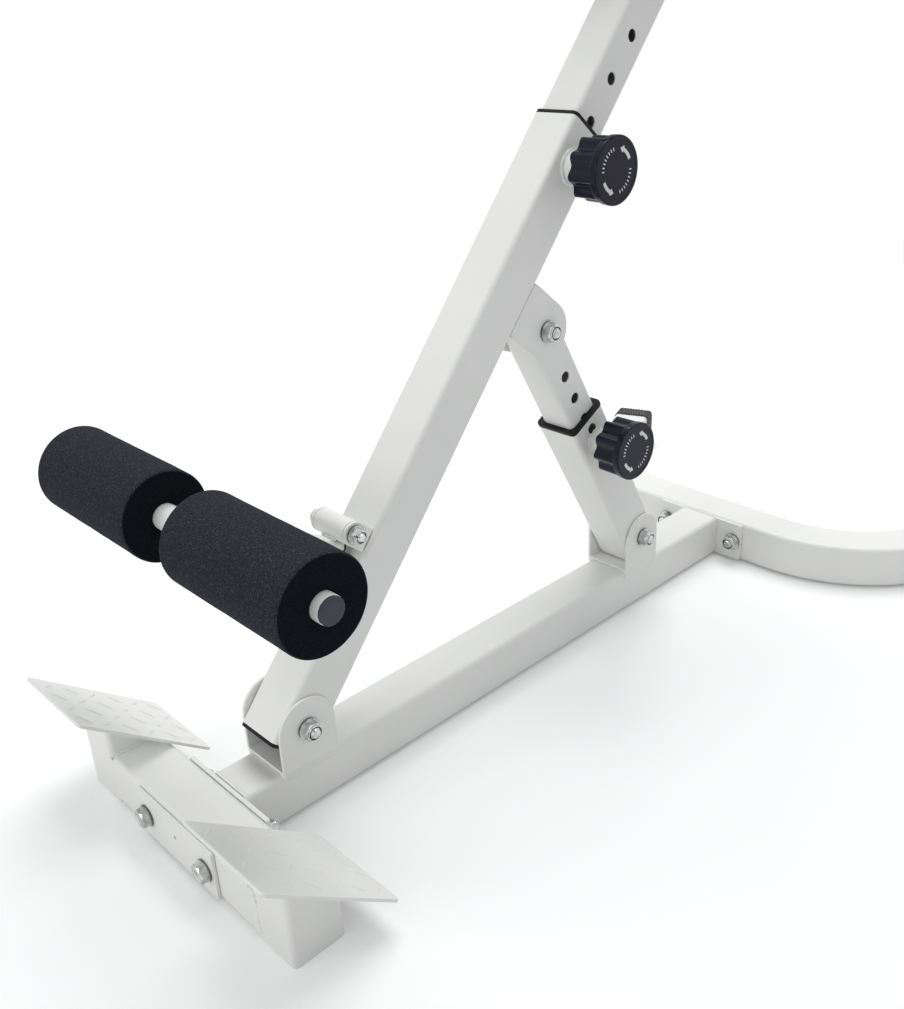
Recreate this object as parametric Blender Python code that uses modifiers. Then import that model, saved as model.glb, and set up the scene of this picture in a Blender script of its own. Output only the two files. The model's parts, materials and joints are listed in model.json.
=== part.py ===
import math

import bmesh
import bpy
from mathutils import Matrix, Vector

for item in list(bpy.data.objects):
    bpy.data.objects.remove(item)

# Sizes in metres, angles in degrees. X runs across the bench, Y from the foot end to the rear, Z up.
GAP = 0.0003
TUBE = 0.050
TUBE_WALL = 0.002
TUBE_CORNER = 0.005
SHEET = 0.003
BASE_LENGTH = 0.702
JOINT_PLATE = 0.004
JOINT_PLATE_WIDTH = 0.120
JOINT_PLATE_HEIGHT = 0.047
JOINT_PLATE_CORNER = 0.002
CLAMP_PLATE = 0.003
VENT = 0.0044
VENT_RISE = 0.004
FOOT_BOLT_X = 0.0465
REAR_BOLT_X = 0.049
BOLT_SLACK = 0.0003
# Bolt sizes: shank, width across flats, head height, nut height, washer width, washer thickness.
M8 = (0.008, 0.013, 0.0055, 0.0065, 0.0170, 0.0016)
M10 = (0.010, 0.016, 0.0064, 0.0080, 0.0205, 0.0018)

RISER_X = 0.1345
PLUG_FLANGE = 0.002
PLUG_DEPTH = 0.012
GLIDE_INSET = 0.0026
TREAD_WIDTH = 0.104
TREAD_LENGTH = 0.146
TREAD_FRONT = 0.104
TREAD_TILT = 38.5
TREAD_CORNER = 0.004

PIVOT_RISE = 0.037
FRONT_PIVOT_Y = 0.125
FRONT_EAR = 0.0295
REAR_PIVOT_Y = 0.601
REAR_EAR = 0.0272
EAR_SLACK = 0.0005

POST_LEAN = 40.0
POST_WALL = 0.0015
POST_TAIL = 0.020
POST_TAIL_CUT = 5.0
POST_CAP = 0.003
POST_CAP_SLACK = 0.0012
POST_TOP = 0.589
POST_PIN = 0.552
BUSHING_LIP = 0.003
BUSHING_DEPTH = 0.028
STRUT_EAR = 0.028
STRUT_PIVOT_ALONG = 0.419
STRUT_PIVOT_RISE = 0.0427

INNER_POST = 0.0445
INNER_POST_FOOT = 0.330
INNER_POST_BEYOND = 0.023
HOLE = 0.0115
POST_HOLE_PITCH = 0.045
POST_HOLES_ABOVE = 3
POST_HOLES_BELOW = 1

STRUT = 0.050
STRUT_TAIL = 0.022
STRUT_OUTER_TOP = 0.194
STRUT_PIN = 0.1655
STRUT_SPARE_HOLE = 0.0166
COLLAR_HEIGHT = 0.0045
STRUT_INNER = 0.040
STRUT_INNER_FOOT = 0.070
STRUT_INNER_NOSE = 0.022
STRUT_HOLE_PITCH = 0.030
STRUT_EYE = 0.0162

PIN_TIP = 0.010
PIN_PULL = 0.009
PIN_SHAFT = 0.008
PIN_SHOULDER = 0.0136
PIN_SHOULDER_AT = 0.003
PIN_SHOULDER_LENGTH = 0.0015
POST_BOSS = 0.030
STRUT_BOSS = 0.025
BOSS_BORE = 0.0148
BOSS_LENGTH = 0.022
BOSS_LID = 0.003
SPRING_WIRE = 0.001
SPRING_TURNS = 4
KNOB_BACK = 0.019
KNOB_FACE = 0.051
KNOB_DISC = 0.060
KNOB_DISC_THICKNESS = 0.007
KNOB_BODY = 0.055
KNOB_GROOVE = 0.0045
KNOB_LOBES = 9

ARM_SLEEVE_ALONG = 0.169
ARM_SLEEVE_RISE = 0.020
ARM_SLEEVE = 0.022
ARM_SLEEVE_LENGTH = 0.040
ARM_EAR = 0.011
ARM = 0.020
ARM_TAIL = 0.006
ROLLER_ALONG = 0.119
ROLLER_OFF = 0.188
BAR = 0.022
BAR_WALL = 0.0015
BAR_END = 0.006
BAR_PLUG = 0.0025
ROLLER_RADIUS = 0.0385
ROLLER_INNER = 0.0265
ROLLER_LENGTH = 0.1475
ROLLER_EDGE = 0.007

STABILISER_STRAIGHT = 0.090
STABILISER_BEND = 0.160
STABILISER_TURN = 68.0
STABILISER_ARM = 0.112
CAP_WALL = 0.002
CAP_LENGTH = 0.026
CAP_END = 0.004

CROSSBAR = 0.040
CROSSBAR_LENGTH = 0.300
CROSSBAR_ALONG = 0.862
PAD_GAP = 0.030
PAD_WIDTH = 0.150
PAD_LENGTH = 0.200
PAD_THICKNESS = 0.048
PAD_CROWN = 0.009
BOARD_THICKNESS = 0.010
BOARD_INSET = 0.006
HANDLE = 0.025
HANDLE_WALL = 0.002
HANDLE_X = 0.215
HANDLE_BEND = 0.045
HANDLE_REACH = 0.105
GRIP = 0.032
GRIP_LENGTH = 0.092
GRIP_END = 0.004

half = TUBE / 2
ground = CAP_WALL + GAP
bench_top = ground + TUBE
beam_y = CLAMP_PLATE + GAP + half
front_plate_y = beam_y + half + GAP
base_y = front_plate_y + JOINT_PLATE + GAP
rear_plate_y = base_y + BASE_LENGTH + GAP
stabiliser_y = rear_plate_y + JOINT_PLATE + GAP + half
turn = math.radians(STABILISER_TURN)
bend_x = STABILISER_STRAIGHT + STABILISER_BEND * math.sin(turn)
bend_y = stabiliser_y + STABILISER_BEND * (1 - math.cos(turn))
tip_x = bend_x + STABILISER_ARM * math.cos(turn)
tip_y = bend_y + STABILISER_ARM * math.sin(turn)
cap_half = half + GAP + CAP_WALL
tilt = math.radians(TREAD_TILT)
tread_y = beam_y + half
tread_z = bench_top + GAP / math.cos(tilt)
front_reach = tread_y - TREAD_FRONT * math.cos(tilt)
rear_reach = tip_y + (GAP + CAP_END) * math.sin(turn) + cap_half * math.cos(turn)
pivot_z = bench_top + PIVOT_RISE
lean = math.radians(POST_LEAN)
inner_post_top = CROSSBAR_ALONG + CROSSBAR / 2 + INNER_POST_BEYOND
strut_drop = half + GAP + STRUT_PIVOT_RISE

bench = bpy.data.collections.new("roman_chair")
cutters = bpy.data.collections.new("cutters")
bpy.context.scene.collection.children.link(bench)
bpy.context.scene.collection.children.link(cutters)


def finish(name, colour, roughness, metallic=0.0):
    made = bpy.data.materials.new(name)
    made.use_nodes = True
    shader = made.node_tree.nodes["Principled BSDF"]
    shader.inputs["Base Color"].default_value = (*colour, 1.0)
    shader.inputs["Roughness"].default_value = roughness
    shader.inputs["Metallic"].default_value = metallic
    made.diffuse_color = (*colour, 1.0)
    return made


WHITE = finish("white_powder_coat", (0.80, 0.80, 0.79), 0.42)
ZINC = finish("zinc_plate", (0.58, 0.58, 0.57), 0.34, 1.0)
BLACK = finish("black_plastic", (0.022, 0.022, 0.024), 0.45)
GLOSS = finish("gloss_black_plastic", (0.012, 0.012, 0.014), 0.14)
RUBBER = finish("black_rubber", (0.024, 0.024, 0.025), 0.70)
FOAM = finish("black_foam", (0.030, 0.031, 0.034), 0.90)
VINYL = finish("black_vinyl", (0.022, 0.022, 0.024), 0.50)
BOARD = finish("painted_plywood", (0.035, 0.033, 0.031), 0.75)


def pivot(name, parent, location=(0, 0, 0), turn_x=0.0):
    empty = bpy.data.objects.new(name, None)
    empty.empty_display_size = 0.05
    bench.objects.link(empty)
    empty.parent = parent
    empty.location = location
    empty.rotation_euler = (turn_x, 0, 0)
    return empty


def place(name, mesh, look, parent, location=(0, 0, 0), rotation=(0, 0, 0)):
    obj = bpy.data.objects.new(name, mesh)
    obj.parent = parent
    obj.location = location
    obj.rotation_euler = [math.radians(angle) for angle in rotation]
    if look is None:
        cutters.objects.link(obj)
        obj.hide_render = True
        obj.display_type = 'WIRE'
    else:
        bench.objects.link(obj)
        obj.data.materials.append(look)
    return obj


def mesh_from(name, bm):
    mesh = bpy.data.meshes.new(name)
    bmesh.ops.recalc_face_normals(bm, faces=bm.faces)
    bm.to_mesh(mesh)
    bm.free()
    return mesh


def smooth(obj):
    for face in obj.data.polygons:
        face.use_smooth = True


def combine(obj, other, operation, with_itself=False):
    step = obj.modifiers.new(operation.lower(), 'BOOLEAN')
    step.operation = operation
    step.solver = 'EXACT'
    step.use_self = with_itself
    step.object = other


def add_box(bm, size, centre=(0, 0, 0), corner=0.0, along=2):
    made = bmesh.ops.create_cube(bm, size=1.0)["verts"]
    bmesh.ops.scale(bm, vec=size, verts=made)
    bmesh.ops.translate(bm, vec=centre, verts=made)
    if corner:
        rails = {edge for vert in made for edge in vert.link_edges}
        rails = [edge for edge in rails if abs((edge.verts[0].co - edge.verts[1].co)[along]) > size[along] / 2]
        bmesh.ops.bevel(bm, geom=rails, offset=corner, segments=3, profile=0.5, affect='EDGES')


def add_rod(bm, radius, low, high, sides=16):
    spot = Matrix.Translation((0, 0, (low + high) / 2))
    bmesh.ops.create_cone(bm, cap_ends=True, segments=sides, radius1=radius, radius2=radius,
                          depth=high - low, matrix=spot)


def box(name, size, look, parent, location=(0, 0, 0), rotation=(0, 0, 0), corner=0.0, along=2):
    bm = bmesh.new()
    add_box(bm, size, corner=corner, along=along)
    return place(name, mesh_from(name, bm), look, parent, location, rotation)


def square_tube(name, width, depth, wall, length, look, parent, location, rotation=(0, 0, 0)):
    bm = bmesh.new()
    add_box(bm, (width, depth, length), (0, 0, length / 2), corner=TUBE_CORNER)
    ends = [face for face in bm.faces if abs(face.normal.z) > 0.9]
    bmesh.ops.delete(bm, geom=ends, context='FACES_ONLY')
    obj = place(name, mesh_from(name, bm), look, parent, location, rotation)
    shell = obj.modifiers.new("wall", 'SOLIDIFY')
    shell.thickness = wall
    shell.offset = -1
    shell.use_even_offset = True
    return obj


def drill(obj, name, radius, length, parent, spots, rotation=(0, 0, 0), sides=16):
    bm = bmesh.new()
    add_rod(bm, radius, -length / 2, length / 2, sides)
    first = bm.verts[:] + bm.edges[:] + bm.faces[:]
    start = Vector(spots[0])
    back = Matrix.Rotation(math.radians(-rotation[0]), 3, 'X')
    if rotation[1]:
        back = Matrix.Rotation(math.radians(-rotation[1]), 3, 'Y')
    for spot in spots[1:]:
        copy = bmesh.ops.duplicate(bm, geom=first)["geom"]
        moved = [piece for piece in copy if isinstance(piece, bmesh.types.BMVert)]
        bmesh.ops.translate(bm, vec=back @ (Vector(spot) - start), verts=moved)
    cutter = place(name, mesh_from(name, bm), None, parent, spots[0], rotation)
    combine(obj, cutter, 'DIFFERENCE')
    return cutter


def turned(name, profile, look, parent, location=(0, 0, 0), rotation=(0, 0, 0), steps=32, closed=False):
    bm = bmesh.new()
    points = [bm.verts.new((radius, 0, height)) for radius, height in profile]
    pairs = list(zip(points, points[1:]))
    if closed:
        pairs.append((points[-1], points[0]))
    for pair in pairs:
        bm.edges.new(pair)
    mesh = bpy.data.meshes.new(name)
    bm.to_mesh(mesh)
    bm.free()
    obj = place(name, mesh, look, parent, location, rotation)
    screw = obj.modifiers.new("turn", 'SCREW')
    screw.axis = 'Z'
    screw.steps = steps
    screw.render_steps = steps
    screw.use_merge_vertices = True
    screw.merge_threshold = 0.00001
    screw.use_smooth_shade = True
    return obj


def outline_mesh(name, splines, thickness):
    curve = bpy.data.curves.new(name, 'CURVE')
    curve.dimensions = '2D'
    curve.fill_mode = 'BOTH'
    curve.extrude = thickness / 2
    for points in splines:
        line = curve.splines.new('POLY')
        line.points.add(len(points) - 1)
        for slot, (px, py) in zip(line.points, points):
            slot.co = (px, py, 0, 1)
        line.use_cyclic_u = True
    return curve_mesh(name, curve)


def curve_mesh(name, curve):
    holder = bpy.data.objects.new(name + "_curve", curve)
    cutters.objects.link(holder)
    bpy.context.view_layer.update()
    graph = bpy.context.evaluated_depsgraph_get()
    mesh = bpy.data.meshes.new_from_object(holder.evaluated_get(graph))
    bpy.data.objects.remove(holder)
    bm = bmesh.new()
    bm.from_mesh(mesh)
    bmesh.ops.remove_doubles(bm, verts=bm.verts, dist=0.000002)
    return mesh_from(name, bm)


def arc(cx, cy, radius, start, stop, count):
    steps = [math.radians(start + (stop - start) * index / count) for index in range(count + 1)]
    return [(cx + radius * math.cos(step), cy + radius * math.sin(step)) for step in steps]


def ring(cx, cy, radius, count=16):
    return arc(cx, cy, radius, 0, 360, count)[:-1]


def rounded(width, height, corner, count=3):
    ix, iy = width / 2 - corner, height / 2 - corner
    points = []
    for cx, cy, start in ((ix, iy, 0), (-ix, iy, 90), (-ix, -iy, 180), (ix, -iy, 270)):
        points += arc(cx, cy, corner, start, start + 90, count)
    return points


def sweep(name, path, section):
    profile = bpy.data.curves.new(name + "_section", 'CURVE')
    profile.dimensions = '2D'
    edge = profile.splines.new('POLY')
    edge.points.add(len(section) - 1)
    for slot, (px, py) in zip(edge.points, section):
        slot.co = (px, py, 0, 1)
    edge.use_cyclic_u = True
    shape = bpy.data.objects.new(name + "_section", profile)
    cutters.objects.link(shape)
    curve = bpy.data.curves.new(name, 'CURVE')
    curve.dimensions = '3D'
    curve.twist_mode = 'Z_UP'
    curve.bevel_mode = 'OBJECT'
    curve.bevel_object = shape
    curve.use_fill_caps = True
    line = curve.splines.new('POLY')
    line.points.add(len(path) - 1)
    for slot, spot in zip(line.points, path):
        slot.co = (*spot, 1)
    mesh = curve_mesh(name, curve)
    bpy.data.objects.remove(shape)
    return mesh


def bent_sheet(name, inside, reach, rise, look, parent, location, rotation, bolt=M10):
    """A U of sheet metal: a floor and two ears with round ends, drilled for a pivot bolt."""
    width = inside + 2 * SHEET
    height = rise + reach + 0.005
    bm = bmesh.new()
    add_box(bm, (width, 2 * reach + 0.01, height), (0, 0, height / 2))
    gone = [face for face in bm.faces if face.normal.z > 0.9 or abs(face.normal.y) > 0.9]
    bmesh.ops.delete(bm, geom=gone, context='FACES_ONLY')
    folds = [edge for edge in bm.edges if edge.is_valid and all(vert.co.z < 0.001 for vert in edge.verts)]
    folds = [edge for edge in folds if abs((edge.verts[0].co - edge.verts[1].co).y) > reach]
    bmesh.ops.bevel(bm, geom=folds, offset=SHEET * 1.3, segments=3, profile=0.5, affect='EDGES')
    loose = [vert for vert in bm.verts if not vert.link_faces]
    bmesh.ops.delete(bm, geom=loose, context='VERTS')
    obj = place(name, mesh_from(name, bm), look, parent, location, rotation)
    shell = obj.modifiers.new("wall", 'SOLIDIFY')
    shell.thickness = SHEET
    shell.offset = -1
    shell.use_even_offset = True
    ear = [(-reach, -0.004), (reach, -0.004)] + arc(0, rise, reach, 0, 180, 12)
    blank = outline_mesh(name + "_blank", [ear], width + 0.02)
    blank.transform(Matrix.Rotation(math.radians(90), 4, 'Z') @ Matrix.Rotation(math.radians(90), 4, 'X'))
    shape = place(name + "_blank", blank, None, parent, location, rotation)
    combine(obj, shape, 'INTERSECT')
    hole = bmesh.new()
    add_rod(hole, bolt[0] / 2 + BOLT_SLACK, -width, width)
    bmesh.ops.rotate(hole, cent=(0, 0, 0), matrix=Matrix.Rotation(math.radians(90), 3, 'Y'), verts=hole.verts)
    bmesh.ops.translate(hole, vec=(0, 0, rise), verts=hole.verts)
    bore = place(name + "_bore", mesh_from(name + "_bore", hole), None, parent, location, rotation)
    combine(obj, bore, 'DIFFERENCE')
    return obj


def bolt_set(name, grip, parent, location, rotation, bolt=M10):
    """A hex bolt along +Z with its washers and lock nut; z = 0 is the face under the head's washer."""
    width, flats, head_height, nut_height, washer, thickness = bolt
    hexagon = flats / math.sqrt(3)
    bite = 0.0002
    head = -GAP - thickness
    nut = grip + GAP + thickness
    bm = bmesh.new()
    add_rod(bm, washer / 2, head, -GAP)
    add_rod(bm, hexagon, head - head_height, head + bite, 6)
    add_rod(bm, washer / 2, grip + GAP, nut)
    add_rod(bm, hexagon, nut - bite, nut + nut_height, 6)
    add_rod(bm, flats * 0.44, nut + nut_height - bite, nut + nut_height + 0.0015, 12)
    obj = place(name, mesh_from(name, bm), ZINC, parent, location, rotation)
    core = bmesh.new()
    add_rod(core, width / 2, head - head_height / 2, nut + nut_height + 0.003, 12)
    shank = place(name + "_shank", mesh_from(name + "_shank", core), None, parent, location, rotation)
    combine(obj, shank, 'UNION', with_itself=True)
    return obj


def end_plug(name, width, wall, flange, depth, look, parent, location, rotation=(0, 0, 0), inset=0.0):
    """A push-in end plug: the flange lies over the tube's end and the stem goes down into it."""
    bm = bmesh.new()
    face = width - 2 * inset
    add_box(bm, (face, face, flange), (0, 0, GAP + flange / 2), corner=TUBE_CORNER)
    obj = place(name, mesh_from(name, bm), look, parent, location, rotation)
    stem = bmesh.new()
    inner = width - 2 * wall - 2 * GAP
    add_box(stem, (inner, inner, depth + flange / 2 + GAP), (0, 0, (flange / 2 + GAP - depth) / 2),
            corner=TUBE_CORNER - wall)
    core = place(name + "_stem", mesh_from(name + "_stem", stem), None, parent, location, rotation)
    combine(obj, core, 'UNION')
    return obj


root = pivot("bench_origin", None, (0, -(front_reach + rear_reach) / 2, 0))

# Base: spine tube, foot beam, risers, tread plates.
square_tube("base_tube", TUBE, TUBE, TUBE_WALL, BASE_LENGTH, WHITE, root,
            (0, base_y, ground + half), (-90, 0, 0))
beam_half = RISER_X - half - GAP
foot_beam = square_tube("foot_beam", TUBE, TUBE, TUBE_WALL, 2 * beam_half, WHITE, root,
                        (-beam_half, beam_y, ground + half), (0, 90, 0))
bolt_hole = M10[0] / 2 + BOLT_SLACK
drill(foot_beam, "foot_beam_holes", bolt_hole, 2 * TUBE, root,
      [(side * FOOT_BOLT_X, beam_y, ground + half) for side in (-1, 1)], (90, 0, 0))

plate_edge = rounded(JOINT_PLATE_WIDTH, JOINT_PLATE_HEIGHT, JOINT_PLATE_CORNER)
plate_holes = [ring(side * FOOT_BOLT_X, 0, bolt_hole) for side in (-1, 1)]
clamp = outline_mesh("foot_clamp_plate", [plate_edge] + plate_holes
                     + [ring(0, VENT_RISE, VENT / 2, 12)], CLAMP_PLATE)
place("foot_clamp_plate", clamp, WHITE, root, (0, CLAMP_PLATE / 2, ground + half), (90, 0, 0))
joint = outline_mesh("front_joint_plate", [plate_edge] + plate_holes, JOINT_PLATE)
place("front_joint_plate", joint, WHITE, root, (0, front_plate_y + JOINT_PLATE / 2, ground + half), (90, 0, 0))
rear_holes = [ring(side * REAR_BOLT_X, 0, bolt_hole) for side in (-1, 1)]
joint = outline_mesh("rear_joint_plate", [plate_edge] + rear_holes, JOINT_PLATE)
place("rear_joint_plate", joint, WHITE, root, (0, rear_plate_y + JOINT_PLATE / 2, ground + half), (90, 0, 0))

for side, hand in ((-1, "left"), (1, "right")):
    bolt_set(hand + "_beam_bolt", front_plate_y + JOINT_PLATE, root,
             (side * FOOT_BOLT_X, 0, ground + half), (-90, 0, 0))
    riser_height = tread_z + math.tan(tilt) * TUBE + 0.02
    riser = square_tube(hand + "_riser", TUBE, TUBE, TUBE_WALL, riser_height, WHITE, root,
                        (side * RISER_X, beam_y, 0))
    slope = bmesh.new()
    add_box(slope, (2 * TUBE, 4 * TUBE, 2 * TUBE), (0, 0, TUBE - 2 * GAP))
    top_cut = place(hand + "_riser_cut", mesh_from(hand + "_riser_cut", slope), None, root,
                    (side * RISER_X, tread_y, tread_z), (-TREAD_TILT, 0, 0))
    combine(riser, top_cut, 'DIFFERENCE')
    end_plug(hand + "_glide", TUBE, TUBE_WALL, CAP_WALL, PLUG_DEPTH, BLACK, root,
             (side * RISER_X, beam_y, ground), (180, 0, 0), GLIDE_INSET)
    tread = outline_mesh(hand + "_tread_plate", [rounded(TREAD_WIDTH, TREAD_LENGTH, TREAD_CORNER)], SHEET)
    tread.transform(Matrix.Translation((0, TREAD_LENGTH / 2 - TREAD_FRONT, SHEET / 2)))
    place(hand + "_tread_plate", tread, WHITE, root, (side * RISER_X, tread_y, tread_z), (-TREAD_TILT, 0, 0))

# Base: pivots for the post and the strut.
bent_sheet("front_clevis", TUBE + 2 * EAR_SLACK, FRONT_EAR, PIVOT_RISE - GAP, WHITE, root,
           (0, FRONT_PIVOT_Y, bench_top + GAP), (0, 0, 0))
bent_sheet("rear_clevis", STRUT + 2 * EAR_SLACK, REAR_EAR, PIVOT_RISE - GAP, WHITE, root,
           (0, REAR_PIVOT_Y, bench_top + GAP), (0, 0, 0))
front_ear = half + EAR_SLACK + SHEET
rear_ear = STRUT / 2 + EAR_SLACK + SHEET
bolt_set("front_pivot_bolt", 2 * front_ear, root, (-front_ear, FRONT_PIVOT_Y, pivot_z), (0, 90, 0))
bolt_set("rear_pivot_bolt", 2 * rear_ear, root, (-rear_ear, REAR_PIVOT_Y, pivot_z), (0, 90, 0))

# Base: rear stabiliser, one square tube bent back on both sides.
square = rounded(TUBE, TUBE, TUBE_CORNER, 2)
bore = rounded(TUBE - 2 * TUBE_WALL, TUBE - 2 * TUBE_WALL, TUBE_CORNER - TUBE_WALL, 2)


def stabiliser_path(beyond):
    reach = STABILISER_ARM + beyond
    right = arc(STABILISER_STRAIGHT, STABILISER_BEND, STABILISER_BEND, -90, STABILISER_TURN - 90, 8)
    end = (right[-1][0] + reach * math.cos(turn), right[-1][1] + reach * math.sin(turn))
    right.append(end)
    return [(-px, py, 0) for px, py in reversed(right)] + [(px, py, 0) for px, py in right]


stabiliser = place("rear_stabiliser", sweep("rear_stabiliser", stabiliser_path(0), square), WHITE, root,
                   (0, stabiliser_y, ground + half))
smooth(stabiliser)
hollow = place("rear_stabiliser_bore", sweep("rear_stabiliser_bore", stabiliser_path(0.01), bore), None, root,
               (0, stabiliser_y, ground + half))
combine(stabiliser, hollow, 'DIFFERENCE')
drill(stabiliser, "rear_stabiliser_holes", bolt_hole, 2 * TUBE, root,
      [(side * REAR_BOLT_X, stabiliser_y, ground + half) for side in (-1, 1)], (90, 0, 0))


def ribbed(width, corner, depth, pitch):
    edge = width / 2 - corner
    count = max(3, int(2 * edge / pitch))
    shape = []
    for quarter in range(4):
        turned_by = Matrix.Rotation(math.radians(90 * quarter), 2)
        shape += [tuple(turned_by @ Vector(spot)) for spot in arc(edge, edge, corner, 0, 90, 3)]
        for index in range(count):
            middle = edge - (index + 0.5) * 2 * edge / count
            for across, inset in ((0.3, 0), (0.15, depth), (-0.15, depth), (-0.3, 0)):
                spot = Vector((middle + across * 2 * edge / count, width / 2 - inset))
                shape.append(tuple(turned_by @ spot))
    return shape


for side, hand in ((-1, "left"), (1, "right")):
    bolt_set(hand + "_stabiliser_bolt", TUBE + GAP + JOINT_PLATE, root,
             (side * REAR_BOLT_X, stabiliser_y + half, ground + half), (90, 0, 0))
    heading = STABILISER_TURN - 90 if side > 0 else 90 - STABILISER_TURN
    sleeve = outline_mesh(hand + "_stabiliser_cap", [ribbed(2 * cap_half, TUBE_CORNER + CAP_WALL, 0.0008, 0.0075),
                                                     rounded(TUBE + 2 * GAP, TUBE + 2 * GAP, TUBE_CORNER, 3)],
                          CAP_LENGTH)
    sleeve.transform(Matrix.Translation((0, 0, GAP + CAP_END - CAP_LENGTH / 2)))
    cap = place(hand + "_stabiliser_cap", sleeve, RUBBER, root,
                (side * tip_x, tip_y, ground + half), (-90, 0, heading))
    lid = bmesh.new()
    add_box(lid, (2 * cap_half - 0.002, 2 * cap_half - 0.002, CAP_END), (0, 0, GAP + CAP_END / 2),
            corner=TUBE_CORNER)
    end = place(hand + "_cap_end", mesh_from(hand + "_cap_end", lid), None, root,
                (side * tip_x, tip_y, ground + half), (-90, 0, heading))
    combine(cap, end, 'UNION')

# Post: local Z runs up the post from its pivot, local -Y faces the user.
post = pivot("post_pivot", root, (0, FRONT_PIVOT_Y, pivot_z), -lean)
post_tube = square_tube("post_tube", TUBE, TUBE, POST_WALL, POST_TOP + 2 * POST_TAIL, WHITE, post,
                        (0, 0, -2 * POST_TAIL))
heel = bmesh.new()
add_box(heel, (2 * TUBE, 2 * TUBE, 2 * POST_TAIL), (0, 0, -POST_TAIL))
heel_cut = place("post_heel_cut", mesh_from("post_heel_cut", heel), None, post, (0, 0, -POST_TAIL),
                 (POST_TAIL_CUT, 0, 0))
combine(post_tube, heel_cut, 'DIFFERENCE')
drill(post_tube, "post_pivot_hole", bolt_hole, 2 * TUBE, post, [(0, 0, 0)], (0, 90, 0))
drill(post_tube, "post_pin_hole", PIN_TIP / 2 + GAP, TUBE, post, [(half, 0, POST_PIN)], (0, 90, 0))
end_plug("post_end_cap", TUBE, POST_WALL + POST_CAP_SLACK, POST_CAP, PLUG_DEPTH, BLACK, post, (0, 0, -POST_TAIL),
         (180 + POST_TAIL_CUT, 0, 0))

bushing = bmesh.new()
add_box(bushing, (TUBE, TUBE, BUSHING_LIP), (0, 0, GAP + BUSHING_LIP / 2), corner=TUBE_CORNER)
post_bushing = place("post_bushing", mesh_from("post_bushing", bushing), BLACK, post, (0, 0, POST_TOP))
lining = TUBE - 2 * POST_WALL - 2 * GAP
core = bmesh.new()
add_box(core, (lining, lining, BUSHING_DEPTH + BUSHING_LIP / 2), (0, 0, (BUSHING_LIP / 2 - BUSHING_DEPTH) / 2),
        corner=TUBE_CORNER - POST_WALL)
lining_solid = place("post_bushing_lining", mesh_from("post_bushing_lining", core), None, post, (0, 0, POST_TOP))
combine(post_bushing, lining_solid, 'UNION')
passage = box("post_bushing_passage", (INNER_POST + 2 * GAP, INNER_POST + 2 * GAP, 4 * BUSHING_DEPTH), None, post,
              (0, 0, POST_TOP), corner=TUBE_CORNER - 0.001)
combine(post_bushing, passage, 'DIFFERENCE')

bent_sheet("strut_bracket", STRUT_INNER + 2 * EAR_SLACK, STRUT_EAR, STRUT_PIVOT_RISE, WHITE, post,
           (0, half + GAP, STRUT_PIVOT_ALONG), (-90, 0, 0))
bracket_ear = STRUT_INNER / 2 + EAR_SLACK + SHEET
bolt_set("strut_pivot_bolt", 2 * bracket_ear, post, (-bracket_ear, strut_drop, STRUT_PIVOT_ALONG), (0, 90, 0))
bent_sheet("roller_bracket", ARM_SLEEVE_LENGTH + 2 * EAR_SLACK, ARM_EAR, ARM_SLEEVE_RISE, WHITE, post,
           (0, -half - GAP, ARM_SLEEVE_ALONG), (90, 0, 0), M8)
sleeve_y = -half - GAP - ARM_SLEEVE_RISE
arm_ear = ARM_SLEEVE_LENGTH / 2 + EAR_SLACK + SHEET
bolt_set("roller_pivot_bolt", 2 * arm_ear, post, (-arm_ear, sleeve_y, ARM_SLEEVE_ALONG), (0, 90, 0), M8)

# Inner post with the hip pads and the handles.
carriage = pivot("inner_post_slide", post)
inner_post = square_tube("inner_post", INNER_POST, INNER_POST, POST_WALL, inner_post_top - INNER_POST_FOOT, WHITE,
                         carriage, (0, 0, INNER_POST_FOOT))
rows = range(-POST_HOLES_BELOW, POST_HOLES_ABOVE + 1)
drill(inner_post, "inner_post_holes", HOLE / 2, TUBE / 2, carriage,
      [(INNER_POST / 2, 0, POST_PIN + row * POST_HOLE_PITCH) for row in rows], (0, 90, 0))
end_plug("inner_post_cap", INNER_POST, POST_WALL, PLUG_FLANGE, PLUG_DEPTH, BLACK, carriage, (0, 0, inner_post_top))
bar_y = -INNER_POST / 2 - GAP - CROSSBAR / 2
square_tube("pad_crossbar", CROSSBAR, CROSSBAR, POST_WALL, CROSSBAR_LENGTH, WHITE, carriage,
            (-CROSSBAR_LENGTH / 2, bar_y, CROSSBAR_ALONG), (0, 90, 0))
board_y = bar_y - CROSSBAR / 2 - GAP - BOARD_THICKNESS / 2
pad_y = board_y - BOARD_THICKNESS / 2 - GAP


def cushion(name, width, length, thickness, crown):
    """A stuffed pad: flat back, full crown, sides drawn in towards the back and between the corners."""
    bm = bmesh.new()
    bmesh.ops.create_cube(bm, size=2.0)
    bmesh.ops.subdivide_edges(bm, edges=bm.edges[:], cuts=3, use_grid_fill=True)
    for vert in bm.verts:
        across, along, up = vert.co
        height = (up + 1) / 2
        swell = 0.90 + 0.10 * math.sin(math.pi * min(1.0, 0.18 + 0.62 * height))
        inset = 0.022 * height * (1 - abs(along) ** 4) * abs(across)
        inset_end = 0.022 * height * (1 - abs(across) ** 4) * abs(along)
        rim = max(abs(across), abs(along))
        shoulder = 0.85 if rim > 0.99 and height > 0.99 else 1.0
        full = thickness - crown + crown * (1 - across ** 2) * (1 - along ** 2)
        vert.co = (across * (swell - inset) * width / 2, along * (swell - inset_end) * length / 2,
                   full * height * shoulder)
    return mesh_from(name, bm)


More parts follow.
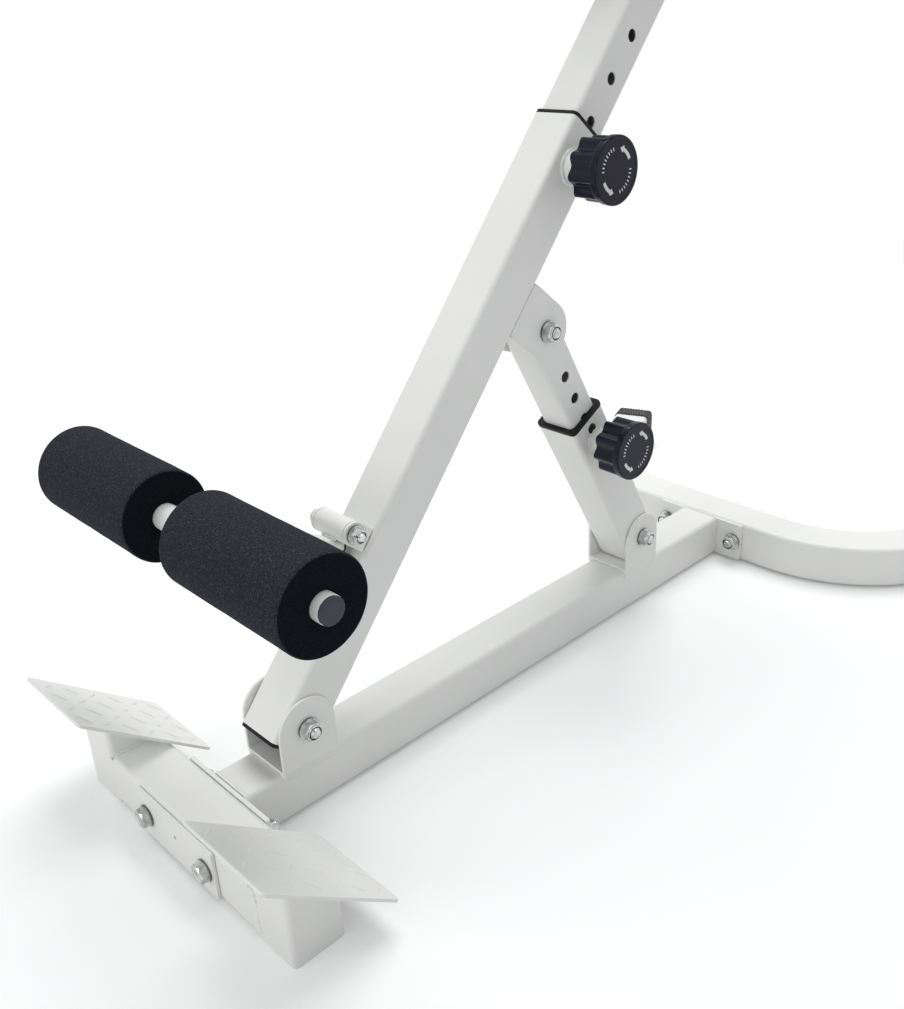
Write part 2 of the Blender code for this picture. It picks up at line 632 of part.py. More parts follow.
for side, hand in ((-1, "left"), (1, "right")):
    end_plug(hand + "_crossbar_cap", CROSSBAR, POST_WALL, PLUG_FLANGE, PLUG_DEPTH, BLACK, carriage,
             (side * CROSSBAR_LENGTH / 2, bar_y, CROSSBAR_ALONG), (0, 90 * side, 0))
    pad_x = side * (PAD_GAP + PAD_WIDTH) / 2
    board = outline_mesh(hand + "_pad_board", [rounded(PAD_WIDTH - 2 * BOARD_INSET, PAD_LENGTH - 2 * BOARD_INSET,
                                                       0.018)], BOARD_THICKNESS)
    place(hand + "_pad_board", board, BOARD, carriage, (pad_x, board_y, CROSSBAR_ALONG), (90, 0, 0))
    pad = place(hand + "_hip_pad", cushion(hand + "_hip_pad", PAD_WIDTH, PAD_LENGTH, PAD_THICKNESS, PAD_CROWN),
                VINYL, carriage, (pad_x, pad_y, CROSSBAR_ALONG), (90, 0, 0))
    round_off = pad.modifiers.new("soft", 'SUBSURF')
    round_off.levels = 1
    round_off.render_levels = 1
    smooth(pad)

handle_y = INNER_POST / 2 + GAP + HANDLE / 2


def handle_path(beyond):
    bend_x = HANDLE_X - HANDLE_BEND
    right = [(bend_x + HANDLE_BEND * math.sin(math.radians(step)),
              handle_y - HANDLE_BEND * (1 - math.cos(math.radians(step)))) for step in range(0, 91, 18)]
    right.append((HANDLE_X, -HANDLE_REACH - beyond))
    return [(-px, py, 0) for px, py in reversed(right)] + [(px, py, 0) for px, py in right]


handlebar = place("handlebar", sweep("handlebar", handle_path(0), ring(0, 0, HANDLE / 2, 14)), WHITE, carriage,
                  (0, 0, CROSSBAR_ALONG))
smooth(handlebar)
handle_bore = place("handlebar_bore", sweep("handlebar_bore", handle_path(0.01),
                                            ring(0, 0, HANDLE / 2 - HANDLE_WALL, 14)), None, carriage,
                    (0, 0, CROSSBAR_ALONG))
combine(handlebar, handle_bore, 'DIFFERENCE')
grip_bore = HANDLE / 2 + GAP
for side, hand in ((-1, "left"), (1, "right")):
    turned(hand + "_grip", [(0, GRIP_END), (GRIP / 2 - 0.004, GRIP_END), (GRIP / 2 - 0.001, GRIP_END - 0.001),
                            (GRIP / 2, GRIP_END - 0.004), (GRIP / 2, GRIP_END - GRIP_LENGTH + 0.006),
                            (GRIP / 2 + 0.003, GRIP_END - GRIP_LENGTH + 0.003),
                            (GRIP / 2 + 0.003, GRIP_END - GRIP_LENGTH), (grip_bore, GRIP_END - GRIP_LENGTH),
                            (grip_bore, 0), (0, 0)],
           RUBBER, carriage, (side * HANDLE_X, -HANDLE_REACH - GAP, CROSSBAR_ALONG), (90, 0, 0), steps=20)

# Strut: local Z runs from the rear pivot to the pivot under the post.
upper_y = FRONT_PIVOT_Y + STRUT_PIVOT_ALONG * math.sin(lean) + strut_drop * math.cos(lean)
upper_z = pivot_z + STRUT_PIVOT_ALONG * math.cos(lean) - strut_drop * math.sin(lean)
strut_length = math.hypot(upper_y - REAR_PIVOT_Y, upper_z - pivot_z)
strut_lean = math.atan2(REAR_PIVOT_Y - upper_y, upper_z - pivot_z)
strut = pivot("strut_pivot", root, (0, REAR_PIVOT_Y, pivot_z), strut_lean)
strut_outer = square_tube("strut_outer", STRUT, STRUT, POST_WALL, STRUT_OUTER_TOP + STRUT_TAIL, WHITE, strut,
                          (0, 0, -STRUT_TAIL))
drill(strut_outer, "strut_pivot_hole", bolt_hole, 2 * TUBE, strut, [(0, 0, 0)], (0, 90, 0))
drill(strut_outer, "strut_pin_hole", PIN_TIP / 2 + GAP, STRUT, strut,
      [(STRUT / 2, 0, STRUT_PIN), (STRUT / 2, 0, STRUT_PIN + STRUT_SPARE_HOLE)], (0, 90, 0))
collar = outline_mesh("strut_collar", [rounded(STRUT + 0.001, STRUT + 0.001, TUBE_CORNER, 3),
                                       rounded(STRUT_INNER + 2 * GAP, STRUT_INNER + 2 * GAP, TUBE_CORNER, 3)],
                      COLLAR_HEIGHT)
place("strut_collar", collar, BLACK, strut, (0, 0, STRUT_OUTER_TOP + GAP + COLLAR_HEIGHT / 2))
strut_slide = pivot("strut_slide", strut)
strut_inner = square_tube("strut_inner", STRUT_INNER, STRUT_INNER, POST_WALL,
                          strut_length + STRUT_INNER_NOSE - STRUT_INNER_FOOT, WHITE, strut_slide,
                          (0, 0, STRUT_INNER_FOOT))
drill(strut_inner, "strut_inner_holes", HOLE / 2, STRUT / 2, strut_slide,
      [(STRUT_INNER / 2, 0, STRUT_PIN + row * STRUT_HOLE_PITCH) for row in range(-2, 4)], (0, 90, 0))
drill(strut_inner, "strut_eye", STRUT_EYE / 2, 2 * STRUT, strut_slide, [(0, 0, strut_length)], (0, 90, 0))

# Pull pins: local Z runs out of the tube's side face.
for hand, parent, across, along, boss in (("post", post, half, POST_PIN, POST_BOSS),
                                          ("strut", strut, STRUT / 2, STRUT_PIN, STRUT_BOSS)):
    face = (across, 0, along)
    lid = BOSS_LENGTH - BOSS_LID
    neck = PIN_SHAFT / 2 + GAP
    turned(hand + "_pin_boss", [(boss / 2 - 0.001, BOSS_LENGTH), (boss / 2, BOSS_LENGTH - 0.001), (boss / 2, GAP),
                                (BOSS_BORE / 2, GAP), (BOSS_BORE / 2, lid), (neck, lid), (neck, BOSS_LENGTH)],
           WHITE, parent, face, (0, 90, 0), steps=20, closed=True)
    slide = pivot(hand + "_pin_slide", parent)
    tip = -POST_WALL - 0.0003
    shoulder = PIN_SHOULDER_AT + PIN_SHOULDER_LENGTH
    shaft_end = KNOB_FACE - 0.006
    turned(hand + "_plunger", [(0, shaft_end), (PIN_SHAFT / 2 - 0.0008, shaft_end),
                               (PIN_SHAFT / 2, shaft_end - 0.0008), (PIN_SHAFT / 2, shoulder),
                               (PIN_SHOULDER / 2, shoulder), (PIN_SHOULDER / 2, PIN_SHOULDER_AT),
                               (PIN_TIP / 2, PIN_SHOULDER_AT), (PIN_TIP / 2, tip + 0.001),
                               (PIN_TIP / 2 - 0.001, tip), (0, tip)],
           ZINC, slide, face, (0, 90, 0), steps=16)
    room = lid - shoulder - 2 * GAP - SPRING_WIRE
    coil = bpy.data.curves.new(hand + "_spring", 'CURVE')
    coil.dimensions = '3D'
    coil.bevel_depth = SPRING_WIRE / 2
    coil.bevel_resolution = 1
    coil.use_fill_caps = True
    wire = coil.splines.new('POLY')
    count = SPRING_TURNS * 8
    wire.points.add(count)
    mean = (PIN_SHAFT / 2 + BOSS_BORE / 2) / 2
    for index, slot in enumerate(wire.points):
        angle = 2 * math.pi * index / 8
        slot.co = (mean * math.cos(angle), mean * math.sin(angle),
                   shoulder + GAP + SPRING_WIRE / 2 + room * index / count, 1)
    spring = place(hand + "_spring", curve_mesh(hand + "_spring", coil), ZINC, slide, face, (0, 90, 0))
    smooth(spring)
    knob_turn = pivot(hand + "_knob_turn", slide)
    disc = KNOB_DISC / 2
    knob = turned(hand + "_knob", [(0, KNOB_FACE), (disc - 0.003, KNOB_FACE), (disc - 0.001, KNOB_FACE - 0.001),
                                   (disc, KNOB_FACE - 0.003), (disc, KNOB_FACE - KNOB_DISC_THICKNESS + 0.001),
                                   (disc - 0.001, KNOB_FACE - KNOB_DISC_THICKNESS),
                                   (0, KNOB_FACE - KNOB_DISC_THICKNESS)],
                  GLOSS, knob_turn, face, (0, 90, 0), steps=36)
    lobes = []
    sides = KNOB_LOBES * 10
    for index in range(sides):
        angle = 2 * math.pi * index / sides
        dip = KNOB_GROOVE * (0.5 - 0.5 * math.cos(KNOB_LOBES * angle))
        lobes.append(((KNOB_BODY / 2 - dip) * math.cos(angle), (KNOB_BODY / 2 - dip) * math.sin(angle)))
    depth = KNOB_FACE - KNOB_DISC_THICKNESS / 2 - KNOB_BACK
    body = outline_mesh(hand + "_knob_body", [lobes], depth)
    body.transform(Matrix.Translation((0, 0, KNOB_BACK + depth / 2)))
    combine(knob, place(hand + "_knob_body", body, None, knob_turn, face, (0, 90, 0)), 'UNION')
    well = boss / 2 + 0.0015
    bored = turned(hand + "_knob_bore", [(0, shaft_end + GAP), (neck, shaft_end + GAP), (neck, BOSS_LENGTH + 0.002),
                                         (well, BOSS_LENGTH + 0.002), (well, KNOB_BACK - 0.01),
                                         (0, KNOB_BACK - 0.01)],
                   None, knob_turn, face, (0, 90, 0), steps=16)
    combine(knob, bored, 'DIFFERENCE')

# Roller arm: local Z runs from its sleeve to the roller bar.
reach_y = -ROLLER_OFF - sleeve_y
reach_z = ROLLER_ALONG - ARM_SLEEVE_ALONG
arm_reach = math.hypot(reach_y, reach_z)
arm = pivot("roller_arm_pivot", post, (0, sleeve_y, ARM_SLEEVE_ALONG), math.atan2(-reach_y, reach_z))
sleeve_bore = M8[0] / 2 + GAP
turned("arm_sleeve", [(ARM_SLEEVE / 2, ARM_SLEEVE_LENGTH / 2), (ARM_SLEEVE / 2, -ARM_SLEEVE_LENGTH / 2),
                      (sleeve_bore, -ARM_SLEEVE_LENGTH / 2), (sleeve_bore, ARM_SLEEVE_LENGTH / 2)],
       WHITE, arm, (0, 0, 0), (0, 90, 0), steps=28, closed=True)
# The arm passes under the sleeve and rises to meet the middle of the bar.
bar_axis = (0, 0, arm_reach)
rise = math.asin((ARM_SLEEVE / 2 + GAP + ARM / 2) / arm_reach)
arm_length = arm_reach * math.cos(rise) + ARM_TAIL
arm_foot = (0, -arm_length * math.sin(rise), arm_reach - arm_length * math.cos(rise))
roller_arm = square_tube("roller_arm", ARM, ARM, POST_WALL, arm_length, WHITE, arm, arm_foot,
                         (-math.degrees(rise), 0, 0))
drill(roller_arm, "roller_arm_cope", BAR / 2 + GAP, 2 * ARM, arm, [bar_axis], (0, 90, 0), sides=28)
end_plug("roller_arm_plug", ARM, POST_WALL, PLUG_FLANGE, PLUG_DEPTH, BLACK, arm, arm_foot,
         (180 - math.degrees(rise), 0, 0))
bar_half = ROLLER_INNER + ROLLER_LENGTH + BAR_END
turned("roller_bar", [(BAR / 2, bar_half), (BAR / 2, -bar_half), (BAR / 2 - BAR_WALL, -bar_half),
                      (BAR / 2 - BAR_WALL, bar_half)],
       WHITE, arm, bar_axis, (0, 90, 0), steps=28, closed=True)
for side, hand in ((-1, "left"), (1, "right")):
    stem = BAR / 2 - BAR_WALL - GAP
    turned(hand + "_bar_plug", [(0, GAP + BAR_PLUG), (BAR / 2 - 0.002, GAP + BAR_PLUG),
                                (BAR / 2 - 0.0003, GAP + BAR_PLUG - 0.001), (BAR / 2 - 0.0003, GAP), (stem, GAP),
                                (stem, -0.010), (stem - 0.001, -0.012), (0, -0.012)],
           BLACK, arm, (side * bar_half, *bar_axis[1:]), (0, 90 * side, 0), steps=16)
    spin = pivot(hand + "_roller_spin", arm, bar_axis)
    inner = BAR / 2 + GAP
    soft = [(ROLLER_RADIUS - ROLLER_EDGE + ROLLER_EDGE * math.sin(math.radians(step)),
             ROLLER_LENGTH / 2 - ROLLER_EDGE + ROLLER_EDGE * math.cos(math.radians(step)))
            for step in (0, 22.5, 45, 67.5, 90)]
    rim = [(inner, ROLLER_LENGTH / 2 - 0.0015), (inner + 0.002, ROLLER_LENGTH / 2)]
    upper = rim + soft
    lower = [(radius, -height) for radius, height in reversed(upper)]
    turned(hand + "_foam_roller", upper + lower, FOAM, spin,
           (side * (ROLLER_INNER + ROLLER_LENGTH / 2), 0, 0), (0, 90, 0), steps=32, closed=True)
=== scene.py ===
import json
import math
import random

import bpy
from mathutils import Matrix, Vector


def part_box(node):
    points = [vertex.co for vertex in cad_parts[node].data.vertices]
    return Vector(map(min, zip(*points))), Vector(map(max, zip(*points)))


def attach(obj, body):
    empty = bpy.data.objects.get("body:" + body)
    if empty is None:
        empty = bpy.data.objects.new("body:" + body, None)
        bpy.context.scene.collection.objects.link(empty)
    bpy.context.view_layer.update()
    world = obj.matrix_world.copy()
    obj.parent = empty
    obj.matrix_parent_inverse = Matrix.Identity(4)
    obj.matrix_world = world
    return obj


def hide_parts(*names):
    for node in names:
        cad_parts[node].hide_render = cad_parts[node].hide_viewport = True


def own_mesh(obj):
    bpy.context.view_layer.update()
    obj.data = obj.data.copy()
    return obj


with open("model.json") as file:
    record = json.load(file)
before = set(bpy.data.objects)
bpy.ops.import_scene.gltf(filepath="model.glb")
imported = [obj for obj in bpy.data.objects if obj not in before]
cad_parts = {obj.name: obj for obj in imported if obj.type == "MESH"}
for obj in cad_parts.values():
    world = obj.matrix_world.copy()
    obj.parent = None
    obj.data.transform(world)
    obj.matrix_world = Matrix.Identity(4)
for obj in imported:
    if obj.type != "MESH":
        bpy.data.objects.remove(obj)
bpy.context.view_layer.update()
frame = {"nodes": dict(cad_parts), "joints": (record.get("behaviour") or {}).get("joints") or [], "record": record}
nodes = frame["nodes"]
joints = {joint["name"]: joint for joint in frame["joints"]}
bodyOf = {node: body for body, members in frame["record"]["behaviour"]["bodies"].items() for node in members}
slotOf = {part["node"]: part["material_slot"] for part in frame["record"]["subparts"]}
random.seed(7)
print("frame loaded:", len(nodes), "nodes")


# working frames: z up the post, up the strut and out along the roller arm, x always across the bench
def axesMatrix(origin, xAxis, yAxis, zAxis):
    turn = Matrix((xAxis, yAxis, zAxis)).transposed().to_4x4()
    return Matrix.Translation(origin) @ turn


def slantedFrame(origin, along):
    return axesMatrix(origin, Vector((1, 0, 0)), Vector((0, along.z, -along.y)), along)


def innerEnd(low, high):  # middle of the box's face at low x
    return Vector((low.x, (low.y + high.y) / 2, (low.z + high.z) / 2))


def turnZ(degrees):
    return Matrix.Rotation(math.radians(degrees), 4, 'Z')


def jointPlace(name):
    return Vector(joints[name]["pos_m"])


postFrame = slantedFrame(jointPlace("post_tilt"), Vector(joints["post_height"]["axis"]).normalized())
strutFrame = slantedFrame(jointPlace("strut_swing"), Vector(joints["strut_extend"]["axis"]).normalized())
rollerAxis = jointPlace("left_roller_spin")
armReach = Vector((0, rollerAxis.y, rollerAxis.z)) - jointPlace("roller_arm_swing")
armFrame = slantedFrame(jointPlace("roller_arm_swing"), armReach.normalized())


def startEdit():
    bpy.ops.object.mode_set(mode='EDIT')


def endEdit():
    bpy.ops.object.mode_set(mode='OBJECT')


def deselectAll():
    if bpy.context.mode != 'OBJECT':
        endEdit()
    bpy.ops.object.select_all(action='DESELECT')


def pick(*objects):
    deselectAll()
    for obj in objects:
        obj.select_set(True)
    bpy.context.view_layer.objects.active = objects[-1]


def editAll(obj):  # edit mode with the whole mesh selected
    pick(obj)
    startEdit()
    bpy.ops.mesh.select_all(action='SELECT')


def clearChoice(obj, kind):
    pick(obj)
    startEdit()
    bpy.ops.mesh.select_mode(type=kind)
    bpy.ops.mesh.select_all(action='DESELECT')
    endEdit()


def chooseFaces(obj, test):  # leaves edit mode on, with the faces that pass selected
    clearChoice(obj, 'FACE')
    for face in obj.data.polygons:
        face.select = test(face.center, face.normal)
    startEdit()


def chooseEdges(obj, test):  # the same for edges, tested by their two ends
    clearChoice(obj, 'EDGE')
    for edge in obj.data.edges:
        edge.select = test(*(obj.data.vertices[index].co for index in edge.vertices))
    startEdit()


def push(step):
    bpy.ops.mesh.extrude_region_move(TRANSFORM_OT_translate={"value": step})


def applyModifiers(obj):
    pick(obj)
    for step in list(obj.modifiers):
        bpy.ops.object.modifier_apply(modifier=step.name)


def settle(obj, place=None):  # puts the place into the mesh, so that the object sits at the origin
    if place is not None:
        obj.matrix_basis = place @ obj.matrix_basis
    pick(obj)
    bpy.ops.object.transform_apply(location=True, rotation=True, scale=True)


def shapeWith(obj, kind, **settings):  # adds one modifier and applies it
    step = obj.modifiers.new(kind.lower(), kind)
    for setting, value in settings.items():
        setattr(step, setting, value)
    applyModifiers(obj)


def softenEdges(obj, width, steps=2, sharp=40.0):
    shapeWith(obj, 'BEVEL', width=width, segments=steps, limit_method='ANGLE',
              angle_limit=math.radians(sharp))


def smoothShade(obj, angle=38.0, even=True):
    pick(obj)
    bpy.ops.object.shade_smooth_by_angle(angle=math.radians(angle))
    if even:  # large faces keep their flat look beside rounded edges
        shapeWith(obj, 'WEIGHTED_NORMAL', keep_sharp=True)


def copyPiece(obj, place=None):
    made = bpy.data.objects.new(obj.name, obj.data.copy())
    bpy.context.scene.collection.objects.link(made)
    if place is not None:
        settle(made, place)
    return made


def joinPieces(pieces):
    pick(*pieces)
    bpy.ops.object.join()
    return bpy.context.object


def mergeDoubles(gap=0.00001):
    bpy.ops.mesh.remove_doubles(threshold=gap)


def outwardFaces(obj):
    editAll(obj)
    mergeDoubles()
    bpy.ops.mesh.normals_make_consistent(inside=False)
    endEdit()


def newCube(size, place=None):
    deselectAll()
    bpy.ops.mesh.primitive_cube_add(size=1)
    made = bpy.context.object
    made.scale = size
    settle(made, place)
    return made


def drawOutline(points, y=0.0):  # points are (x, z), drawn one by one, left selected in edit mode
    deselectAll()
    bpy.ops.mesh.primitive_plane_add(size=0.01)
    made = bpy.context.object
    startEdit()
    bpy.ops.mesh.select_mode(type='VERT')
    bpy.ops.mesh.merge(type='CENTER')
    bpy.ops.transform.translate(value=(points[0][0], y, points[0][1]))
    for here, there in zip(points, points[1:]):
        push((there[0] - here[0], 0, there[1] - here[1]))
    bpy.ops.mesh.select_all(action='SELECT')
    return made


def turnProfile(points, steps):  # points are (radius, height)
    made = drawOutline(points)
    bpy.ops.mesh.spin(steps=steps, angle=2 * math.pi, center=(0, 0, 0), axis=(0, 0, 1))
    outwardFaces(made)
    return made


def extrudeProfile(points, along):  # pushed along y, half of it to each side
    made = drawOutline(points, -along / 2)
    bpy.ops.mesh.edge_face_add()
    push((0, along, 0))
    outwardFaces(made)
    return made


def bentPath(straight, bend, turn, arm, steps):  # a bar along x, both ends bent towards y
    angles = [step * turn / steps for step in range(steps + 1)]
    right = [(straight + bend * math.sin(angle), bend * (1 - math.cos(angle))) for angle in angles]
    right.append((right[-1][0] + arm * math.cos(turn), right[-1][1] + arm * math.sin(turn)))
    return [(-x, y, 0) for x, y in reversed(right)] + [(x, y, 0) for x, y in right]


def sweptLine(points, width, section=None, closed=False, swell=None, sides=2):
    path = bpy.data.curves.new("sweptLine", 'CURVE')
    path.dimensions = '3D'
    path.twist_mode = 'Z_UP' if section else 'MINIMUM'
    line = path.splines.new('POLY')
    line.points.add(len(points) - 1)
    for slot, (spot, size) in zip(line.points, zip(points, swell or [1.0] * len(points))):
        slot.co = (*spot, 1)
        slot.radius = size
    line.use_cyclic_u = closed
    path.use_fill_caps = not closed
    if section:
        path.bevel_mode = 'OBJECT'
        path.bevel_object = section
    else:
        path.bevel_depth = width
        path.bevel_resolution = sides
    made = bpy.data.objects.new("sweptLine", path)
    bpy.context.scene.collection.objects.link(made)
    pick(made)
    bpy.ops.object.convert(target='MESH')
    return bpy.context.object


def finishPiece(obj, name, body, material, replaced=()):
    obj.name = name
    obj.data.name = name
    obj.data.materials.clear()
    obj.data.materials.append(material)
    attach(obj, body)
    if replaced:
        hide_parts(*replaced)


def pieceName(nodeName):
    words = nodeName.split("_")
    return words[0] + "".join(word.title() for word in words[1:])


# materials
def wire(tree, node, sources):
    for socket, source in sources.items():
        tree.links.new(source, node.inputs[socket])


def addNode(tree, kind, values=None, sources=None):
    made = tree.nodes.new("ShaderNode" + kind)
    for socket, value in (values or {}).items():
        made.inputs[socket].default_value = value
    wire(tree, made, sources or {})
    return made


def newMaterial(name, colour, roughness, metallic=0.0):
    made = bpy.data.materials.new(name)
    made.use_nodes = True
    tree = made.node_tree
    shader = tree.nodes["Principled BSDF"]
    shader.inputs["Base Color"].default_value = (*colour, 1)
    shader.inputs["Roughness"].default_value = roughness
    shader.inputs["Metallic"].default_value = metallic
    return made, tree, shader, addNode(tree, "TexCoord").outputs["Object"]


def noiseNode(tree, where, scale, detail=2.0, rough=0.5):
    values = {"Scale": scale, "Detail": detail, "Roughness": rough}
    return addNode(tree, "TexNoise", values, {"Vector": where}).outputs["Fac"]


def cellNode(tree, where, scale, kind='F1'):
    made = addNode(tree, "TexVoronoi", {"Scale": scale}, {"Vector": where})
    made.feature = kind
    return made.outputs["Distance"]


def rampNode(tree, source, low, high, start=0.3, end=0.7):
    made = addNode(tree, "ValToRGB", sources={"Fac": source})
    for stop, colour, place in zip(made.color_ramp.elements, (low, high), (start, end)):
        stop.position = place
        stop.color = (*colour, 1) if isinstance(colour, tuple) else (colour, colour, colour, 1)
    return made.outputs["Color"]


def bumpNode(tree, height, strength, distance, under=None):
    made = addNode(tree, "Bump", {"Strength": strength, "Distance": distance}, {"Height": height})
    if under is not None:
        wire(tree, made, {"Normal": under})
    return made.outputs["Normal"]


coat = {"colour": (0.83, 0.834, 0.812), "dull": (0.80, 0.804, 0.783), "roughness": (0.36, 0.50),
        "clouds": 9.0, "glossSpots": 60.0, "sag": (110.0, 0.06, 0.0006), "peel": (520.0, 0.10, 0.0003)}


def makeCoat():  # powder coat: orange peel, faint clouds in colour and gloss
    made, tree, shader, where = newMaterial("whitePowderCoat", coat["colour"], 0.42)
    clouds = noiseNode(tree, where, coat["clouds"], 3.0)
    tint = rampNode(tree, clouds, coat["dull"], coat["colour"], 0.35, 0.62)
    gloss = rampNode(tree, noiseNode(tree, where, coat["glossSpots"]), *coat["roughness"])
    scale, strength, depth = coat["sag"]
    sag = bumpNode(tree, noiseNode(tree, where, scale, 1.0, 0.4), strength, depth)
    scale, strength, depth = coat["peel"]
    peel = bumpNode(tree, noiseNode(tree, where, scale, 2.0, 0.55), strength, depth, sag)
    wire(tree, shader, {"Base Color": tint, "Roughness": gloss, "Normal": peel})
    return made


# the edge colours are painted shade for the washers' side rims
plating = {"colour": (0.42, 0.425, 0.42), "bright": (0.68, 0.685, 0.68), "edge": (0.10, 0.105, 0.105),
           "edgeBright": (0.20, 0.205, 0.205), "roughness": (0.13, 0.26)}


def makeZinc(name, colour, bright):
    made, tree, shader, where = newMaterial(name, colour, 0.2, 1.0)
    cloud = noiseNode(tree, where, 130.0, 2.0)
    tint = rampNode(tree, cloud, colour, bright, 0.35, 0.65)
    gloss = rampNode(tree, cloud, *plating["roughness"])
    wire(tree, shader, {"Base Color": tint, "Roughness": gloss})
    return made


def makeMoulded(name, colour, lighter, roughness, gleam, grainScale, grainStrength):  # plastic or rubber
    made, tree, shader, where = newMaterial(name, colour, roughness[0])
    shader.inputs["Specular IOR Level"].default_value = gleam
    tint = rampNode(tree, noiseNode(tree, where, 35.0, 3.0), colour, lighter, 0.35, 0.7)
    gloss = rampNode(tree, noiseNode(tree, where, 140.0), *roughness)
    grain = bumpNode(tree, noiseNode(tree, where, grainScale, 3.0, 0.6), grainStrength, 0.0003)
    wire(tree, shader, {"Base Color": tint, "Roughness": gloss, "Normal": grain})
    return made


# the end shade colours are painted shade, put on the rollers' end faces
foamLook = {"colour": (0.021, 0.022, 0.029), "speck": (0.078, 0.078, 0.088), "cells": 620.0,
            "cut": (0.006, 0.0065, 0.010), "cutSpeck": (0.017, 0.0175, 0.024)}


def makeFoam(name, colour, speck):  # open-cell foam: small pits, pale specks where cells catch the light
    made, tree, shader, where = newMaterial(name, colour, 0.95)
    cells = cellNode(tree, where, foamLook["cells"])
    grains = noiseNode(tree, where, 860.0, 3.0, 0.7)
    specks = rampNode(tree, grains, colour, speck, 0.50, 0.72)
    pits = bumpNode(tree, cells, 0.22, 0.0010)
    fuzz = bumpNode(tree, noiseNode(tree, where, 1600.0, 2.0, 0.6), 0.4, 0.0006, pits)
    wire(tree, shader, {"Base Color": specks, "Normal": fuzz})
    shader.inputs["Specular IOR Level"].default_value = 0.05
    return made


vinyl = {"colour": (0.013, 0.013, 0.015), "worn": (0.022, 0.022, 0.025), "grain": 420.0}


def makeVinyl():  # leather-grain vinyl: pebbles with fine creases between them
    made, tree, shader, where = newMaterial("padVinyl", vinyl["colour"], 0.42)
    shader.inputs["Specular IOR Level"].default_value = 0.3
    tint = rampNode(tree, noiseNode(tree, where, 26.0, 3.0), vinyl["colour"], vinyl["worn"], 0.35, 0.7)
    gloss = rampNode(tree, noiseNode(tree, where, 90.0), 0.36, 0.50)
    pebble = bumpNode(tree, cellNode(tree, where, vinyl["grain"], 'DISTANCE_TO_EDGE'), 0.35, 0.0006)
    crease = bumpNode(tree, noiseNode(tree, where, 60.0, 4.0, 0.6), 0.10, 0.0015, pebble)
    wire(tree, shader, {"Base Color": tint, "Roughness": gloss, "Normal": crease})
    return made


whiteCoat = makeCoat()
brightZinc = makeZinc("brightZinc", plating["colour"], plating["bright"])
darkZinc = makeZinc("darkZinc", plating["edge"], plating["edgeBright"])
rollerFoam = makeFoam("rollerFoam", foamLook["colour"], foamLook["speck"])
foamEnd = makeFoam("foamEnd", foamLook["cut"], foamLook["cutSpeck"])
padVinyl = makeVinyl()
moulded = {"blackPlastic": ((0.008, 0.008, 0.009), (0.014, 0.014, 0.016), (0.38, 0.52), 0.14, 900.0, 0.15),
           "plugPlastic": ((0.058, 0.059, 0.078), (0.070, 0.071, 0.092), (0.42, 0.55), 0.14, 900.0, 0.12),
           "glossPlastic": ((0.003, 0.0035, 0.012), (0.006, 0.0065, 0.020), (0.10, 0.18), 0.18, 300.0, 0.03),
           "ribRubber": ((0.012, 0.012, 0.013), (0.020, 0.020, 0.021), (0.40, 0.55), 0.25, 700.0, 0.20),
           "ribCrest": ((0.050, 0.050, 0.051), (0.072, 0.072, 0.073), (0.40, 0.55), 0.35, 700.0, 0.15),
           "boardPaint": ((0.018, 0.017, 0.016), (0.036, 0.033, 0.030), (0.60, 0.80), 0.2, 420.0, 0.30),
           "printWhite": ((0.70, 0.70, 0.71), (0.82, 0.82, 0.82), (0.45, 0.60), 0.3, 900.0, 0.10)}
plastics = {name: makeMoulded(name, *look) for name, look in moulded.items()}
finishes = {"white_coat": whiteCoat, "zinc": brightZinc, "black_plastic": plastics["blackPlastic"],
            "gloss_plastic": plastics["glossPlastic"], "rubber": plastics["ribRubber"], "foam": rollerFoam,
            "vinyl": padVinyl, "board": plastics["boardPaint"]}
for nodeName, node in nodes.items():
    node.data.materials.clear()
    node.data.materials.append(finishes[slotOf[nodeName]])
print("materials made")

# tubes, plates, brackets and plugs: copies of the solids with their edges softened
shells = {"edge": 0.0005,
          "madeBelow": ("_tread_plate", "_bolt", "rear_stabiliser", "_stabiliser_cap", "_spring", "_knob",
                        "_foam_roller", "handlebar", "_grip", "_hip_pad")}


def addShell(nodeName):
    made = copyPiece(nodes[nodeName])
    editAll(made)
    mergeDoubles()
    bpy.ops.mesh.dissolve_limited(angle_limit=math.radians(1))
    endEdit()
    softenEdges(made, shells["edge"])
    smoothShade(made)
    slotName = slotOf[nodeName]
    look = plastics["plugPlastic"] if nodeName.endswith("bar_plug") else finishes[slotName]
    finishPiece(made, pieceName(nodeName), bodyOf[nodeName], look, (nodeName,))


for nodeName in nodes:
    if not nodeName.endswith(shells["madeBelow"]):
        addShell(nodeName)
print("tubes and plates done")

# foot plates with raised tread strokes
tread = {"tilt": 38.5, "length": 0.146, "sheet": 0.003, "corner": 0.004, "edge": 0.0006,
         "stroke": (0.0180, 0.0042, 0.0012), "strokeSink": 0.0001, "pitch": 0.0240, "margin": 0.010}


def makeStroke():
    deselectAll()
    bpy.ops.mesh.primitive_uv_sphere_add(segments=14, ring_count=8, radius=0.5)
    made = bpy.context.object
    long, wide, high = tread["stroke"]
    made.scale = (long, wide, 2 * high)
    settle(made)
    editAll(made)
    bpy.ops.mesh.bisect(plane_co=(0, 0, -tread["strokeSink"]), plane_no=(0, 0, 1), clear_inner=True)
    endEdit()
    return made


